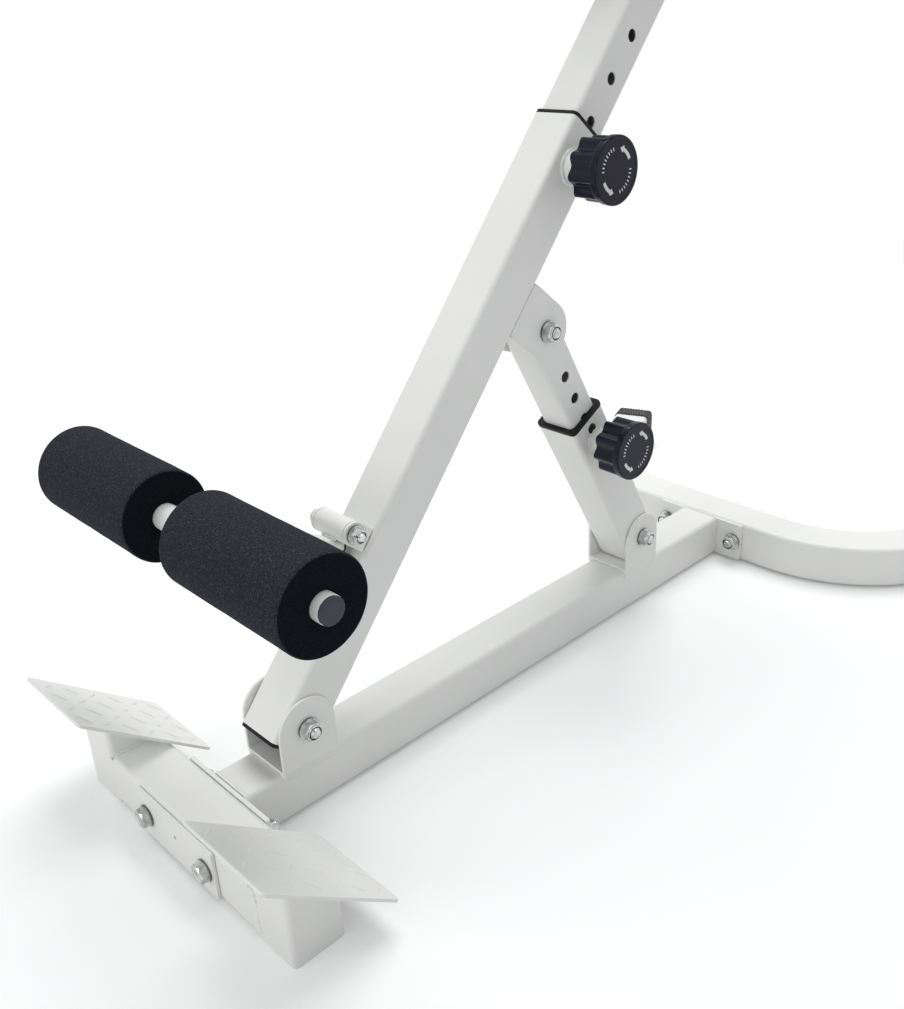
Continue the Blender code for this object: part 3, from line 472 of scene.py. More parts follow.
def addTread(hand, stroke):
    nodeName = hand + "_tread_plate"
    low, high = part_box(nodeName)
    width, long, sheet, pitch = high.x - low.x, tread["length"], tread["sheet"], tread["pitch"]
    place = Matrix.Translation((low + high) / 2) @ Matrix.Rotation(-math.radians(tread["tilt"]), 4, 'X')
    made = newCube((width, long, sheet))
    chooseEdges(made, lambda first, second: abs(first.z - second.z) > sheet / 2)
    bpy.ops.mesh.bevel(offset=tread["corner"], segments=6)
    endEdit()
    softenEdges(made, tread["edge"])
    pieces = []
    columns = int((width - 2 * tread["margin"]) / pitch) + 1
    rows = int((long - 2 * tread["margin"]) / pitch) + 1
    for column in range(columns):
        for row in range(rows):
            spot = ((column - (columns - 1) / 2) * pitch, (row - (rows - 1) / 2) * pitch, sheet / 2)
            turn = turnZ(45 if (column + row) % 2 else -45)
            pieces.append(copyPiece(stroke, Matrix.Translation(spot) @ turn))
    made = joinPieces(pieces + [made])
    smoothShade(made)
    settle(made, place)
    finishPiece(made, pieceName(nodeName), "frame", whiteCoat, (nodeName,))


strokeShape = makeStroke()
for hand in ("left", "right"):
    addTread(hand, strokeShape)
bpy.data.objects.remove(strokeShape)
print("foot plates done")

# hex bolts with washers and lock nuts: each size modelled once along z and copied
bolt = {"flats": 0.016, "head": 0.0064, "nut": 0.0080, "washer": 0.01025, "washerThick": 0.0018,
        "shank": 0.005, "tip": 0.003, "gap": 0.0003, "dish": 0.0008}
smallBolt = {"flats": 0.013, "head": 0.0055, "nut": 0.0065, "washer": 0.0085, "washerThick": 0.0016,
             "shank": 0.004, "tip": 0.003, "gap": 0.0003, "dish": 0.0007}


def makeHex(size, height, dished):
    deselectAll()
    bpy.ops.mesh.primitive_cylinder_add(vertices=6, radius=size["flats"] / math.sqrt(3), depth=height)
    made = bpy.context.object
    half = height / 2
    outer = size["flats"] / 2
    if dished:
        chooseFaces(made, lambda middle, normal: normal.z > 0.9)
        bpy.ops.mesh.inset(thickness=outer * 0.4)
        bpy.ops.mesh.inset(thickness=outer * 0.12)
        bpy.ops.transform.translate(value=(0, 0, -size["dish"]))
        endEdit()
    crown = turnProfile([(0, half), (outer * 0.97, half), (outer * 1.18, half - outer * 0.215),
                         (outer * 1.18, 0.0005 - half), (outer * 1.12, -half), (0, -half)], 48)
    shapeWith(made, 'BOOLEAN', operation='INTERSECT', solver='EXACT', object=crown)
    bpy.data.objects.remove(crown)
    softenEdges(made, 0.0002)
    return made


def makeWasher(size):
    inner, outer, thick, rim = size["shank"], size["washer"], size["washerThick"], 0.0003
    return turnProfile([(inner, 0), (outer - rim, 0), (outer, rim), (outer, thick - rim),
                        (outer - rim, thick), (inner, thick), (inner, 0)], 40)


def makeHead(size):  # z = 0 is the clamped face, the head lies below it
    base = size["gap"] + size["washerThick"]
    washer = makeWasher(size)
    settle(washer, Matrix.Translation((0, 0, -base)))
    head = makeHex(size, size["head"], True)
    turned = Matrix.Rotation(math.pi, 4, 'X')
    settle(head, Matrix.Translation((0, 0, 0.0001 - base - size["head"] / 2)) @ turned)
    return joinPieces([washer, head])


def makeNut(size):  # z = 0 is the clamped face, the nut lies above it
    base = size["gap"] + size["washerThick"]
    washer = makeWasher(size)
    settle(washer, Matrix.Translation((0, 0, size["gap"])))
    body = makeHex(size, size["nut"], False)
    settle(body, Matrix.Translation((0, 0, base + size["nut"] / 2 - 0.0001)))
    top = base + size["nut"]
    inner, outer, shank = size["flats"] * 0.335, size["flats"] * 0.438, size["shank"]
    collar = turnProfile([(inner, top - 0.001), (outer, top - 0.001), (outer, top + 0.0006),
                          (outer - 0.0006, top + 0.0014), (inner + 0.0001, top + 0.0014),
                          (inner, top - 0.001)], 36)
    thread = [(0, top - 0.002)]
    for turn in range(7):
        thread.append((shank, top - 0.002 + turn * 0.0006))
        thread.append((shank - 0.0004, top - 0.0017 + turn * 0.0006))
    thread += [(shank - 0.0009, top + size["tip"]), (0, top + size["tip"])]
    return joinPieces([washer, body, collar, turnProfile(thread, 28)])


def shadeBolt(made, size, grip):  # washer rims in a darker copy of the zinc, painted shade for the dark surroundings they would reflect, and the black insert of the lock nut
    made.data.materials.append(darkZinc)
    made.data.materials.append(plastics["blackPlastic"])
    collar = grip + size["gap"] + size["washerThick"] + size["nut"] + 0.001
    for face in made.data.polygons:
        across = math.hypot(face.center.x, face.center.y)
        if across > size["washer"] - 0.0006 and abs(face.normal.z) < 0.8:
            face.material_index = 1
        elif face.center.z > collar and across > size["shank"] and face.normal.z > 0.8:
            face.material_index = 2


def addBolt(nodeName, along, headLow, size, headShape, nutShape):
    low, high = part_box(nodeName)
    base = size["gap"] + size["washerThick"]
    grip = high[along] - low[along] - 2 * base - size["head"] - size["nut"] - size["tip"]
    headRoom = base + size["head"]
    start = (low + high) / 2
    start[along] = low[along] + headRoom if headLow else high[along] - headRoom
    direction = Vector((0, 0, 0))
    direction[along] = 1 if headLow else -1
    place = Matrix.Translation(start) @ direction.to_track_quat('Z', 'Y').to_matrix().to_4x4()
    place = place @ Matrix.Rotation(random.uniform(0, math.pi / 3), 4, 'Z')
    head = copyPiece(headShape)
    nut = copyPiece(nutShape, Matrix.Translation((0, 0, grip)))
    deselectAll()
    bpy.ops.mesh.primitive_cylinder_add(vertices=24, radius=size["shank"], depth=grip + 0.004,
                                        location=(0, 0, grip / 2))
    shank = bpy.context.object
    settle(shank)
    softenEdges(shank, 0.0003)
    made = joinPieces([head, nut, shank])
    smoothShade(made, 32)
    finishPiece(made, pieceName(nodeName), bodyOf[nodeName], brightZinc, (nodeName,))
    shadeBolt(made, size, grip)
    settle(made, place)


boltHead, boltNut = makeHead(bolt), makeNut(bolt)
smallHead, smallNut = makeHead(smallBolt), makeNut(smallBolt)
for nodeName in ("front_pivot_bolt", "rear_pivot_bolt", "strut_pivot_bolt"):
    addBolt(nodeName, 0, True, bolt, boltHead, boltNut)
addBolt("roller_pivot_bolt", 0, True, smallBolt, smallHead, smallNut)
for name, headLow in (("_beam_bolt", True), ("_stabiliser_bolt", False)):
    for hand in ("left", "right"):
        addBolt(hand + name, 1, headLow, bolt, boltHead, boltNut)
padBolt = {"across": (-0.115, -0.065, 0.065, 0.115), "depth": -0.02255, "along": 0.862}
padBolts = []
for across in padBolt["across"]:  # through the crossbar into the pad boards
    spot = Matrix.Translation((across, padBolt["depth"], padBolt["along"]))
    padBolts.append(copyPiece(smallHead, postFrame @ spot @ Matrix.Rotation(math.pi / 2, 4, 'X')))
padBolts = joinPieces(padBolts)
smoothShade(padBolts, 32)
finishPiece(padBolts, "padBolts", "carriage", brightZinc)
for shape in (boltHead, boltNut, smallHead, smallNut):
    bpy.data.objects.remove(shape)
print("bolts done")

# rear stabiliser: square tube bent back on both sides
stabiliser = {"straight": 0.090, "bend": 0.160, "turn": 68.0, "arm": 0.112, "side": 0.050, "corner": 0.005,
              "bendSteps": 40}


def roundedSquare(side, corner, steps=5):
    deselectAll()
    bpy.ops.mesh.primitive_plane_add(size=side)
    startEdit()
    bpy.ops.mesh.bevel(offset=corner, segments=steps, affect='VERTICES')
    bpy.ops.mesh.delete(type='ONLY_FACE')
    endEdit()
    bpy.ops.object.convert(target='CURVE')
    return bpy.context.object


def stabiliserPath():
    turn = math.radians(stabiliser["turn"])
    return bentPath(stabiliser["straight"], stabiliser["bend"], turn, stabiliser["arm"],
                    stabiliser["bendSteps"])


def addStabiliser():
    low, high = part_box("rear_stabiliser")
    section = roundedSquare(stabiliser["side"], stabiliser["corner"])
    made = sweptLine(stabiliserPath(), 0, section)
    bpy.data.objects.remove(section)
    outwardFaces(made)
    settle(made, Matrix.Translation((0, low.y + stabiliser["side"] / 2, (low.z + high.z) / 2)))
    smoothShade(made, 30)
    finishPiece(made, "rearStabiliser", "frame", whiteCoat, ("rear_stabiliser",))


addStabiliser()

# ribbed rubber caps on the stabiliser's ends
cap = {"length": 0.026, "end": 0.0043, "half": 0.0261, "rib": (0.0026, 0.0012), "ribs": 8, "slant": 0.010,
       "corner": 0.0045, "edge": 0.0012, "wall": 0.0016, "gap": 0.0005, "ribEdge": 0.0005,
       "ribLength": 0.0226}


def makeCap():  # z runs out of the tube's end, z = 0 at the tube's end face
    long, end = cap["length"], cap["end"]
    made = newCube((2 * cap["half"], 2 * cap["half"], long), Matrix.Translation((0, 0, end - long / 2)))
    chooseEdges(made, lambda first, second: abs(first.z - second.z) > long / 2)
    bpy.ops.mesh.bevel(offset=cap["corner"], segments=6)
    chooseFaces(made, lambda middle, normal: normal.z < -0.9)
    bpy.ops.mesh.inset(thickness=cap["wall"])
    push((0, 0, long - end - cap["gap"]))
    endEdit()
    softenEdges(made, cap["edge"], 3, 50)
    smoothShade(made)
    return made


def makeCapRibs():  # slanted ribs on all four sides, copied from one
    wide, high = cap["rib"]
    long, middle = cap["length"], cap["end"] - cap["length"] / 2
    reach = cap["half"] - cap["corner"] - cap["slant"] / 2 - wide / 2
    rib = newCube((wide, 2 * high, cap["ribLength"]), Matrix.Translation((0, 0, middle)))
    for vert in rib.data.vertices:
        vert.co.x += (vert.co.z - middle) / long * cap["slant"]
    softenEdges(rib, cap["ribEdge"])
    pieces = []
    for quarter in range(4):
        for index in range(cap["ribs"]):
            across = -reach + 2 * reach * index / (cap["ribs"] - 1)
            pieces.append(copyPiece(rib, turnZ(90 * quarter) @ Matrix.Translation((across, cap["half"], 0))))
    bpy.data.objects.remove(rib)
    made = joinPieces(pieces)
    smoothShade(made)
    return made


def addCaps():
    shape = makeCap()
    ribs = makeCapRibs()
    low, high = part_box("rear_stabiliser")
    turn = math.radians(stabiliser["turn"])
    endX, endY, _ = stabiliserPath()[-1]
    for hand, side in (("left", -1), ("right", 1)):
        tip = Vector((side * endX, low.y + stabiliser["side"] / 2 + endY, (low.z + high.z) / 2))
        out = Vector((side * math.cos(turn), math.sin(turn), 0))
        place = axesMatrix(tip, Vector((0, 0, 1)).cross(out), Vector((0, 0, 1)), out)
        made = copyPiece(shape, place)
        finishPiece(made, hand + "StabiliserCap", "frame", plastics["ribRubber"],
                    (hand + "_stabiliser_cap",))
        # the ribs take a lighter rubber, partly wear on the crests and partly painted highlight
        finishPiece(copyPiece(ribs, place), hand + "CapRibs", "frame", plastics["ribCrest"])
    bpy.data.objects.remove(shape)
    bpy.data.objects.remove(ribs)


addCaps()
print("stabiliser done")


# springs round the two pull pins, which on the real bench shorten towards the pin's shoulder as it is pulled; here
# each is a copy of the solid with a mesh of its own
def addSpring(nodeName):
    made = copyPiece(nodes[nodeName])
    outwardFaces(made)
    smoothShade(made, 50, False)
    finishPiece(made, pieceName(nodeName), bodyOf[nodeName], brightZinc, (nodeName,))
    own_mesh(made)


addSpring("post_spring")
addSpring("strut_spring")
print("springs done")

# scalloped knobs on the two pull pins
knob = {"lobes": 9, "scallop": 0.0047, "body": 0.0288, "disc": 0.007, "well": 0.0062,
        "wellDepth": 0.0055, "rim": 0.0011, "markRadius": 0.0190, "markWidth": 0.0016, "markSweep": 52.0,
        "markTurn": 115.0, "markHead": 0.28, "tick": (0.0030, 0.0010), "ticks": 8, "tickSweep": 72.0,
        "printRise": 0.00018, "faceRim": 0.0032, "faceSink": 0.0004, "flare": 1.015, "gripEdge": 0.0009}


def raisePrint(made):  # gives the flat print its thickness
    editAll(made)
    mergeDoubles(0.00002)
    push((0, 0, knob["printRise"]))
    endEdit()
    outwardFaces(made)


def makeMark():  # a short curved arrow, bent round from a flat strip
    deselectAll()
    bpy.ops.mesh.primitive_grid_add(x_subdivisions=20, y_subdivisions=1, size=1)
    made = bpy.context.object
    for vert in made.data.vertices:
        along = vert.co.x + 0.5
        head = max(0.0, (1 - along) / knob["markHead"])
        wide = knob["markWidth"] * (2.2 * head if along > 1 - knob["markHead"] else 1.0)
        radius = knob["markRadius"] + 2 * vert.co.y * wide
        angle = math.radians(knob["markSweep"]) * along
        vert.co = (radius * math.cos(angle), radius * math.sin(angle), 0)
    raisePrint(made)
    return made


def makeTick():  # a short raised dash along the radius
    deselectAll()
    bpy.ops.mesh.primitive_plane_add(size=1)
    made = bpy.context.object
    made.scale = (*knob["tick"], 1)
    settle(made, Matrix.Translation((knob["markRadius"], 0, 0)))
    raisePrint(made)
    return made


def addKnobPrint(nodeName, body, place):  # two arrows with a row of ticks between them
    mark, tick = makeMark(), makeTick()
    first = knob["markTurn"] + 90 + (knob["markSweep"] - knob["tickSweep"]) / 2
    pieces = []
    for half in (0, 180):
        pieces.append(copyPiece(mark, turnZ(half + knob["markTurn"])))
        for index in range(knob["ticks"]):
            turn = half + first + knob["tickSweep"] * index / (knob["ticks"] - 1)
            pieces.append(copyPiece(tick, turnZ(turn)))
    bpy.data.objects.remove(mark)
    bpy.data.objects.remove(tick)
    made = joinPieces(pieces)
    settle(made, place)
    finishPiece(made, pieceName(nodeName) + "Print", body, plastics["printWhite"])


def addKnob(nodeName, body):
    low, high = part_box(nodeName)
    long = high.x - low.x
    radius = (high.y - low.y) / 2
    place = Matrix.Translation(innerEnd(low, high)) @ Matrix.Rotation(math.pi / 2, 4, 'Y')
    deselectAll()
    bpy.ops.mesh.primitive_circle_add(vertices=knob["lobes"] * 20, radius=knob["body"], fill_type='NGON')
    grip = bpy.context.object
    for vert in grip.data.vertices:
        turn = math.atan2(vert.co.y, vert.co.x) * knob["lobes"] / 2
        vert.co *= 1 - knob["scallop"] * math.sin(turn) ** 2 / knob["body"]
    chooseFaces(grip, lambda middle, normal: True)
    bpy.ops.mesh.inset(thickness=knob["well"])
    push((0, 0, knob["wellDepth"]))
    endEdit()
    rim = knob["body"] - knob["scallop"] - 0.001
    chooseEdges(grip, lambda first, second: min(first.length, second.length) > rim
                and first.z + second.z < 0.0001)
    push((0, 0, long - knob["disc"] + knob["faceSink"]))
    bpy.ops.transform.resize(value=(knob["flare"], knob["flare"], 1), center_override=(0, 0, 0))
    bpy.ops.mesh.edge_face_add()
    endEdit()
    outwardFaces(grip)
    softenEdges(grip, knob["gripEdge"], 3, 60)
    deselectAll()
    bpy.ops.mesh.primitive_cylinder_add(vertices=112, radius=radius, depth=knob["disc"],
                                        location=(0, 0, long - knob["disc"] / 2))
    disc = bpy.context.object
    settle(disc)
    chooseFaces(disc, lambda middle, normal: normal.z > 0.9)
    bpy.ops.mesh.inset(thickness=knob["faceRim"])
    bpy.ops.mesh.inset(thickness=knob["faceSink"])
    bpy.ops.transform.translate(value=(0, 0, -knob["faceSink"]))
    endEdit()
    softenEdges(disc, knob["rim"], 3, 60)
    made = joinPieces([grip, disc])
    smoothShade(made, 42)
    settle(made, place)
    finishPiece(made, pieceName(nodeName), body, plastics["glossPlastic"], (nodeName,))
    addKnobPrint(nodeName, body, place @ Matrix.Translation((0, 0, long - knob["faceSink"])))


addKnob("post_knob", "post_pin_knob")
addKnob("strut_knob", "strut_pin_knob")
print("knobs done")

# foam rollers
roller = {"edge": 0.0032, "bore": 0.0116, "rings": 36, "uneven": 0.0007, "lumps": 0.035, "dish": 0.0012,
          "deep": 0.006}


def addRoller(hand):
    nodeName = hand + "_foam_roller"
    low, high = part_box(nodeName)
    half = (high.x - low.x) / 2
    radius = (high.z - low.z) / 2
    edge, bore = roller["edge"], roller["bore"]
    steps = [step * math.pi / 10 for step in range(6)]
    corner = [(radius - edge + edge * math.sin(step), half - edge + edge * math.cos(step)) for step in steps]
    flat = [(bore + (radius - edge - bore) * step / 6, half - roller["dish"] * (1 - step / 6) ** 3)
            for step in range(6)]
    upper = [(bore, half - roller["deep"])] + flat + corner
    side = [(radius, (half - edge) * (1 - 2 * step / roller["rings"])) for step in range(1, roller["rings"])]
    lower = [(across, -along) for across, along in reversed(upper)]
    made = turnProfile(upper + side + lower + [upper[0]], 96)
    cloud = bpy.data.textures.new(hand + "FoamUneven", 'CLOUDS')
    cloud.noise_scale = roller["lumps"]
    shapeWith(made, 'DISPLACE', texture=cloud, strength=-roller["uneven"], mid_level=0.0)
    smoothShade(made, 60, False)
    settle(made, Matrix.Translation((low + high) / 2) @ Matrix.Rotation(math.pi / 2, 4, 'Y'))
    finishPiece(made, hand + "FoamRoller", hand + "_roller", rollerFoam, (nodeName,))
    made.data.materials.append(foamEnd)  # the end faces take a darker copy of the foam: painted shade
    for face in made.data.polygons:
        face.material_index = 1 if abs(face.normal.x) > 0.75 else 0


for hand in ("left", "right"):
    addRoller(hand)
print("rollers done")

# handlebar behind the pads, with ribbed grips
handle = {"along": 0.862, "outer": 0.215, "bend": 0.045, "reach": 0.105, "back": 0.03505, "tube": 0.0125,
          "bendSteps": 16}
grip = {"length": 0.092, "end": 0.004, "radius": 0.016, "flange": 0.019, "ribs": 14, "groove": 0.0009}


def addHandlebar():
    bend, back, reach = handle["bend"], handle["back"], handle["reach"]
    path = bentPath(handle["outer"] - bend, bend, math.pi / 2, back - bend + reach, handle["bendSteps"])
    made = sweptLine([(x, back - y, z) for x, y, z in path], handle["tube"], sides=8)
    outwardFaces(made)
    smoothShade(made, 40, False)
    settle(made, postFrame @ Matrix.Translation((0, 0, handle["along"])))
    finishPiece(made, "handlebar", "carriage", whiteCoat, ("handlebar",))


def makeGrip():  # z runs off the tube's end
    radius, end, length = grip["radius"], grip["end"], grip["length"]
    profile = [(0, end), (radius - 0.005, end), (radius - 0.0018, end - 0.0006),
               (radius - 0.0003, end - 0.0022), (radius, end - 0.005)]
    first, last = end - 0.010, end - length + 0.014
    for index in range(grip["ribs"]):
        for part, dip in ((0.0, 0), (0.25, 0), (0.40, 1), (0.60, 1), (0.75, 0)):
            along = first + (last - first) * (index + part) / grip["ribs"]
            profile.append((radius - dip * grip["groove"], along))
    base = end - length
    flange, bore = grip["flange"], handle["tube"] + 0.0003
    profile += [(radius, base + 0.008), (flange - 0.0006, base + 0.0042), (flange, base + 0.003),
                (flange, base + 0.0008), (flange - 0.0008, base), (bore, base), (bore, 0.0003), (0, 0.0003)]
    made = turnProfile(profile, 44)
    smoothShade(made, 50, False)
    return made


def addGrips():
    shape = makeGrip()
    for hand, side in (("left", -1), ("right", 1)):
        spot = Matrix.Translation((side * handle["outer"], -handle["reach"], handle["along"]))
        made = copyPiece(shape, postFrame @ spot @ Matrix.Rotation(math.pi / 2, 4, 'X'))
        finishPiece(made, hand + "Grip", "carriage", plastics["ribRubber"], (hand + "_grip",))
    bpy.data.objects.remove(shape)


addHandlebar()
addGrips()
print("handlebar done")

# hip pads: the solid's copy is remeshed, swollen as cloth over its fixed back, and piped round the edge
pad = {"voxel": 0.005, "shrink": 0.982, "pressure": 2.2, "frames": 20, "cap": 0.0045, "thin": 0.93,
       "held": 0.004, "piping": 0.0019, "pipingRise": 0.007, "pipingRoom": 0.01}


def addPad(hand):
    nodeName = hand + "_hip_pad"
    made = copyPiece(nodes[nodeName])
    made.data.transform(postFrame.inverted())
    editAll(made)
    mergeDoubles()
    endEdit()
    places = [vert.co.copy() for vert in made.data.vertices]
    back = max(place.y for place in places)
    middleX = (max(place.x for place in places) + min(place.x for place in places)) / 2
    middleZ = (max(place.z for place in places) + min(place.z for place in places)) / 2
    for vert in made.data.vertices:
        vert.co.x = middleX + (vert.co.x - middleX) * pad["shrink"]
        vert.co.z = middleZ + (vert.co.z - middleZ) * pad["shrink"]
        vert.co.y = back + (vert.co.y - back) * pad["thin"]
    made.data.remesh_voxel_size = pad["voxel"]
    bpy.ops.object.voxel_remesh()
    start = [vert.co.copy() for vert in made.data.vertices]
    held = made.vertex_groups.new(name="heldBack")
    held.add([index for index, place in enumerate(start) if place.y > back - pad["held"]], 1.0, 'REPLACE')
    swell = made.modifiers.new("swell", 'CLOTH')
    swell.settings.use_pressure = True
    swell.settings.uniform_pressure_force = pad["pressure"]
    swell.settings.vertex_group_mass = "heldBack"
    swell.settings.effector_weights.gravity = 0
    swell.point_cache.frame_end = pad["frames"]
    for step in range(1, pad["frames"] + 1):
        bpy.context.scene.frame_set(step)
    applyModifiers(made)
    bpy.context.scene.frame_set(1)
    for vert, place in zip(made.data.vertices, start):
        move = vert.co - place
        if move.length > pad["cap"]:
            vert.co = place + move * pad["cap"] / move.length
    for vert in made.data.vertices:
        vert.co.y = min(vert.co.y, back)
    made.vertex_groups.clear()
    shapeWith(made, 'SUBSURF', levels=1, render_levels=1)
    smoothShade(made, 180, False)
    addPiping(hand, made, back, middleX, middleZ)
    settle(made, postFrame)
    finishPiece(made, hand + "HipPad", "carriage", padVinyl, (nodeName,))


def addPiping(hand, surface, back, middleX, middleZ):  # follows the pad's side just above the board
    wide = max(abs(vert.co.x - middleX) for vert in surface.data.vertices) + pad["pipingRoom"]
    tall = max(abs(vert.co.z - middleZ) for vert in surface.data.vertices) + pad["pipingRoom"]
    deselectAll()
    bpy.ops.mesh.primitive_circle_add(vertices=160, radius=1.0)
    ring = bpy.context.object
    for vert in ring.data.vertices:
        angle = math.atan2(vert.co.y, vert.co.x)
        across = math.copysign(abs(math.cos(angle)) ** 0.35, math.cos(angle))
        along = math.copysign(abs(math.sin(angle)) ** 0.35, math.sin(angle))
        vert.co = (middleX + across * wide, back - pad["pipingRise"], middleZ + along * tall)
    shapeWith(ring, 'SHRINKWRAP', target=surface, wrap_method='NEAREST_SURFACEPOINT')
    path = [vert.co.copy() for vert in ring.data.vertices]
    bpy.data.objects.remove(ring)
    made = sweptLine(path, pad["piping"], closed=True, sides=4)
    smoothShade(made, 60, False)
    settle(made, postFrame)
    finishPiece(made, hand + "PadPiping", "carriage", padVinyl)


for hand in ("left", "right"):
    addPad(hand)
print("pads done")

# black button in the strut's spare hole
button = {"radius": 0.0055, "rise": 0.0012, "across": 0.025, "along": 0.1821}


def addButton():
    radius, rise = button["radius"], button["rise"]
    made = turnProfile([(0, rise), (radius - 0.0014, rise), (radius - 0.0004, rise - 0.0004),
                        (radius, rise - 0.001), (radius, -0.0014), (0, -0.0014)], 32)
    smoothShade(made, 50, False)
    spot = Matrix.Translation((button["across"], 0, button["along"])) @ Matrix.Rotation(math.pi / 2, 4, 'Y')
    settle(made, strutFrame @ spot)
    finishPiece(made, "strutHoleButton", "strut_lower", plastics["blackPlastic"])


addButton()

# weld beads: rippled cords of coat-covered metal
weld = {"step": 0.0022, "ripple": 0.14, "arm": 0.020, "armRise": 8.1, "bar": 0.011, "flat": (0.0050, 0.14),
        "riserTop": 0.0019, "plate": 0.0012, "strutBracket": (0.0236, 0.0252, 0.393, 0.445, 0.0017),
        "rollerBracket": (0.0236, -0.0252, 0.160, 0.178, 0.0014),  # half width, depth, from, to, radius
        "crossbar": (0.0224, -0.0224, 0.846, 0.878, 0.0019),
        "handlebar": (0.018, 0.0232, 0.8565, 0.8675, 0.0018)}


def makeBead(points, radius, closed=False, ripple=weld["ripple"]):
    path = []
    corners = points + points[:1] if closed else points
    for here, there in zip(corners, corners[1:]):
        here, there = Vector(here), Vector(there)
        count = max(1, round((there - here).length / weld["step"]))
        path += [here.lerp(there, step / count) for step in range(count)]
    if not closed:
        path.append(Vector(corners[-1]))
    swell = [1 + ripple * (math.sin(index * 2.1) + random.uniform(-0.6, 0.6)) for index in range(len(path))]
    if not closed:
        swell[0] *= 0.6
        swell[-1] *= 0.6
    wander = 0.7 * ripple * radius
    path = [spot + Vector([random.uniform(-wander, wander) for axis in range(3)]) for spot in path]
    made = sweptLine(path, radius, closed=closed, swell=swell, sides=3)
    smoothShade(made, 70, False)
    return made


def addWelds(name, body, beads, place=None):
    made = joinPieces(beads) if len(beads) > 1 else beads[0]
    settle(made, place)
    finishPiece(made, name, body, whiteCoat)


def flatBead(seam, face, low, high, ripple):  # a bead dressed nearly flush with the face
    radius, flatness = weld["flat"]
    made = makeBead([(0, 0, low), (0, 0, high)], radius, ripple=ripple)
    made.scale = (1, flatness, 1)
    settle(made)
    settle(made, Matrix.Translation((seam, face, 0)))
    return made


def addBaseWelds():
    beamLow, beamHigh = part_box("foot_beam")
    for hand, side, ripple, sunk in (("left", -1, 0.02, 0.00052), ("right", 1, 0.24, 0.0001)):
        seam = side * (beamHigh.x + 0.0028)
        beads = [flatBead(seam, face, beamLow.z + 0.003, beamHigh.z - 0.002, ripple)
                 for face in (beamLow.y + sunk, beamHigh.y - sunk)]
        top = side * (beamHigh.x + 0.0003)
        across = [(top, beamLow.y + 0.004, beamHigh.z), (top, beamHigh.y - 0.004, beamHigh.z)]
        beads.append(makeBead(across, weld["riserTop"]))
        addWelds(hand + "RiserWelds", "frame", beads)
    tubeLow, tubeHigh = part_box("base_tube")
    for name, end, inward in (("frontPlateWeld", tubeLow.y, 0.001), ("rearPlateWeld", tubeHigh.y, -0.001)):
        y = end + inward
        ring = [(tubeLow.x, y, tubeLow.z + 0.003), (tubeLow.x, y, tubeHigh.z - 0.003),
                (tubeLow.x + 0.003, y, tubeHigh.z), (tubeHigh.x - 0.003, y, tubeHigh.z),
                (tubeHigh.x, y, tubeHigh.z - 0.003), (tubeHigh.x, y, tubeLow.z + 0.003)]
        addWelds(name, "frame", [makeBead(ring, weld["plate"])])


def addClevisWeld(name, nodeName):  # a smooth fillet from each ear down to the tube's side
    low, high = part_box(nodeName)
    tubeLow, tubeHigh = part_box("base_tube")
    ear, side, top = high.x, tubeHigh.x, tubeHigh.z
    profile = [(ear + 0.00005, top + 0.0052), (ear + 0.00005, top + 0.0020), (ear - 0.0004, top - 0.0010),
               (ear - 0.0014, top - 0.0042), (ear - 0.0026, top - 0.0072), (side + 0.00005, top - 0.0100),
               (side - 0.001, top - 0.0100), (side - 0.001, top - 0.0045), (side - 0.004, top),
               (ear - 0.0012, top + 0.0052)]
    beads = []
    for hand in (1, -1):
        made = extrudeProfile([(hand * x, z) for x, z in profile], high.y - low.y - 0.0006)
        softenEdges(made, 0.0004, 2, 70)
        smoothShade(made, 50, False)
        beads.append(made)
    addWelds(name, "frame", beads, Matrix.Translation((0, (low.y + high.y) / 2, 0)))


def addBossWeld(name, nodeName, body, thick):
    low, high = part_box(nodeName)
    radius = (high.y - low.y) / 2 + 0.0002
    middle = innerEnd(low, high)
    turns = [step * 2 * math.pi / 30 for step in range(30)]
    ring = [middle + Vector((0.0004, radius * math.cos(turn), radius * math.sin(turn))) for turn in turns]
    addWelds(name, body, [makeBead(ring, thick, closed=True, ripple=0.26)])


def sideBeads(seam):  # one bead up each side of a bracket
    across, depth, low, high, radius = seam
    return [makeBead([(x, depth, low), (x, depth, high)], radius) for x in (-across, across)]


def addPostWelds():
    addWelds("strutBracketWelds", "post", sideBeads(weld["strutBracket"]), postFrame)
    addWelds("rollerBracketWelds", "post", sideBeads(weld["rollerBracket"]), postFrame)
    beads = sideBeads(weld["crossbar"])
    across, depth, low, high, radius = weld["handlebar"]
    beads += [makeBead([(-across, depth, z), (across, depth, z)], radius) for z in (low, high)]
    addWelds("crossbarWelds", "carriage", beads, postFrame)


def addArmWelds():  # under the sleeve, and round the arm's coped end on the bar
    rise = math.radians(weld["armRise"])
    half, wrap = weld["arm"] / 2, weld["bar"] + 0.0004
    toBar = armFrame @ Matrix.Translation((0, 0, armReach.length)) @ Matrix.Rotation(-rise, 4, 'X')
    arc = [(half * step / 5, -math.sqrt(wrap ** 2 - (half * step / 5) ** 2)) for step in range(-5, 6)]
    ring = [(half, y, z) for y, z in arc] + [(-half, y, z) for y, z in reversed(arc)]
    toSleeve = -armReach.length * math.cos(rise)
    beads = [makeBead(ring, 0.0015, closed=True)]
    for along in (-0.0052, 0.0058):
        spot = toSleeve + along
        beads.append(makeBead([(-0.0092, half + 0.0012, spot), (0.0092, half + 0.0012, spot)], 0.0021))
    addWelds("rollerArmWelds", "ankle_arm", beads, toBar)


addBaseWelds()
addClevisWeld("frontClevisWeld", "front_clevis")
addClevisWeld("rearClevisWeld", "rear_clevis")
addBossWeld("postBossWeld", "post_pin_boss", "post", 0.0021)
addBossWeld("strutBossWeld", "strut_pin_boss", "strut_lower", 0.0017)
addPostWelds()
addArmWelds()
print("welds done")

# camera at the photograph's angle
cameraSet = {"place": (0.6718, -0.772665, 0.6583), "azimuth": 47.411, "elevation": 25.717, "roll": -2.929,
             "lens": 37.88}


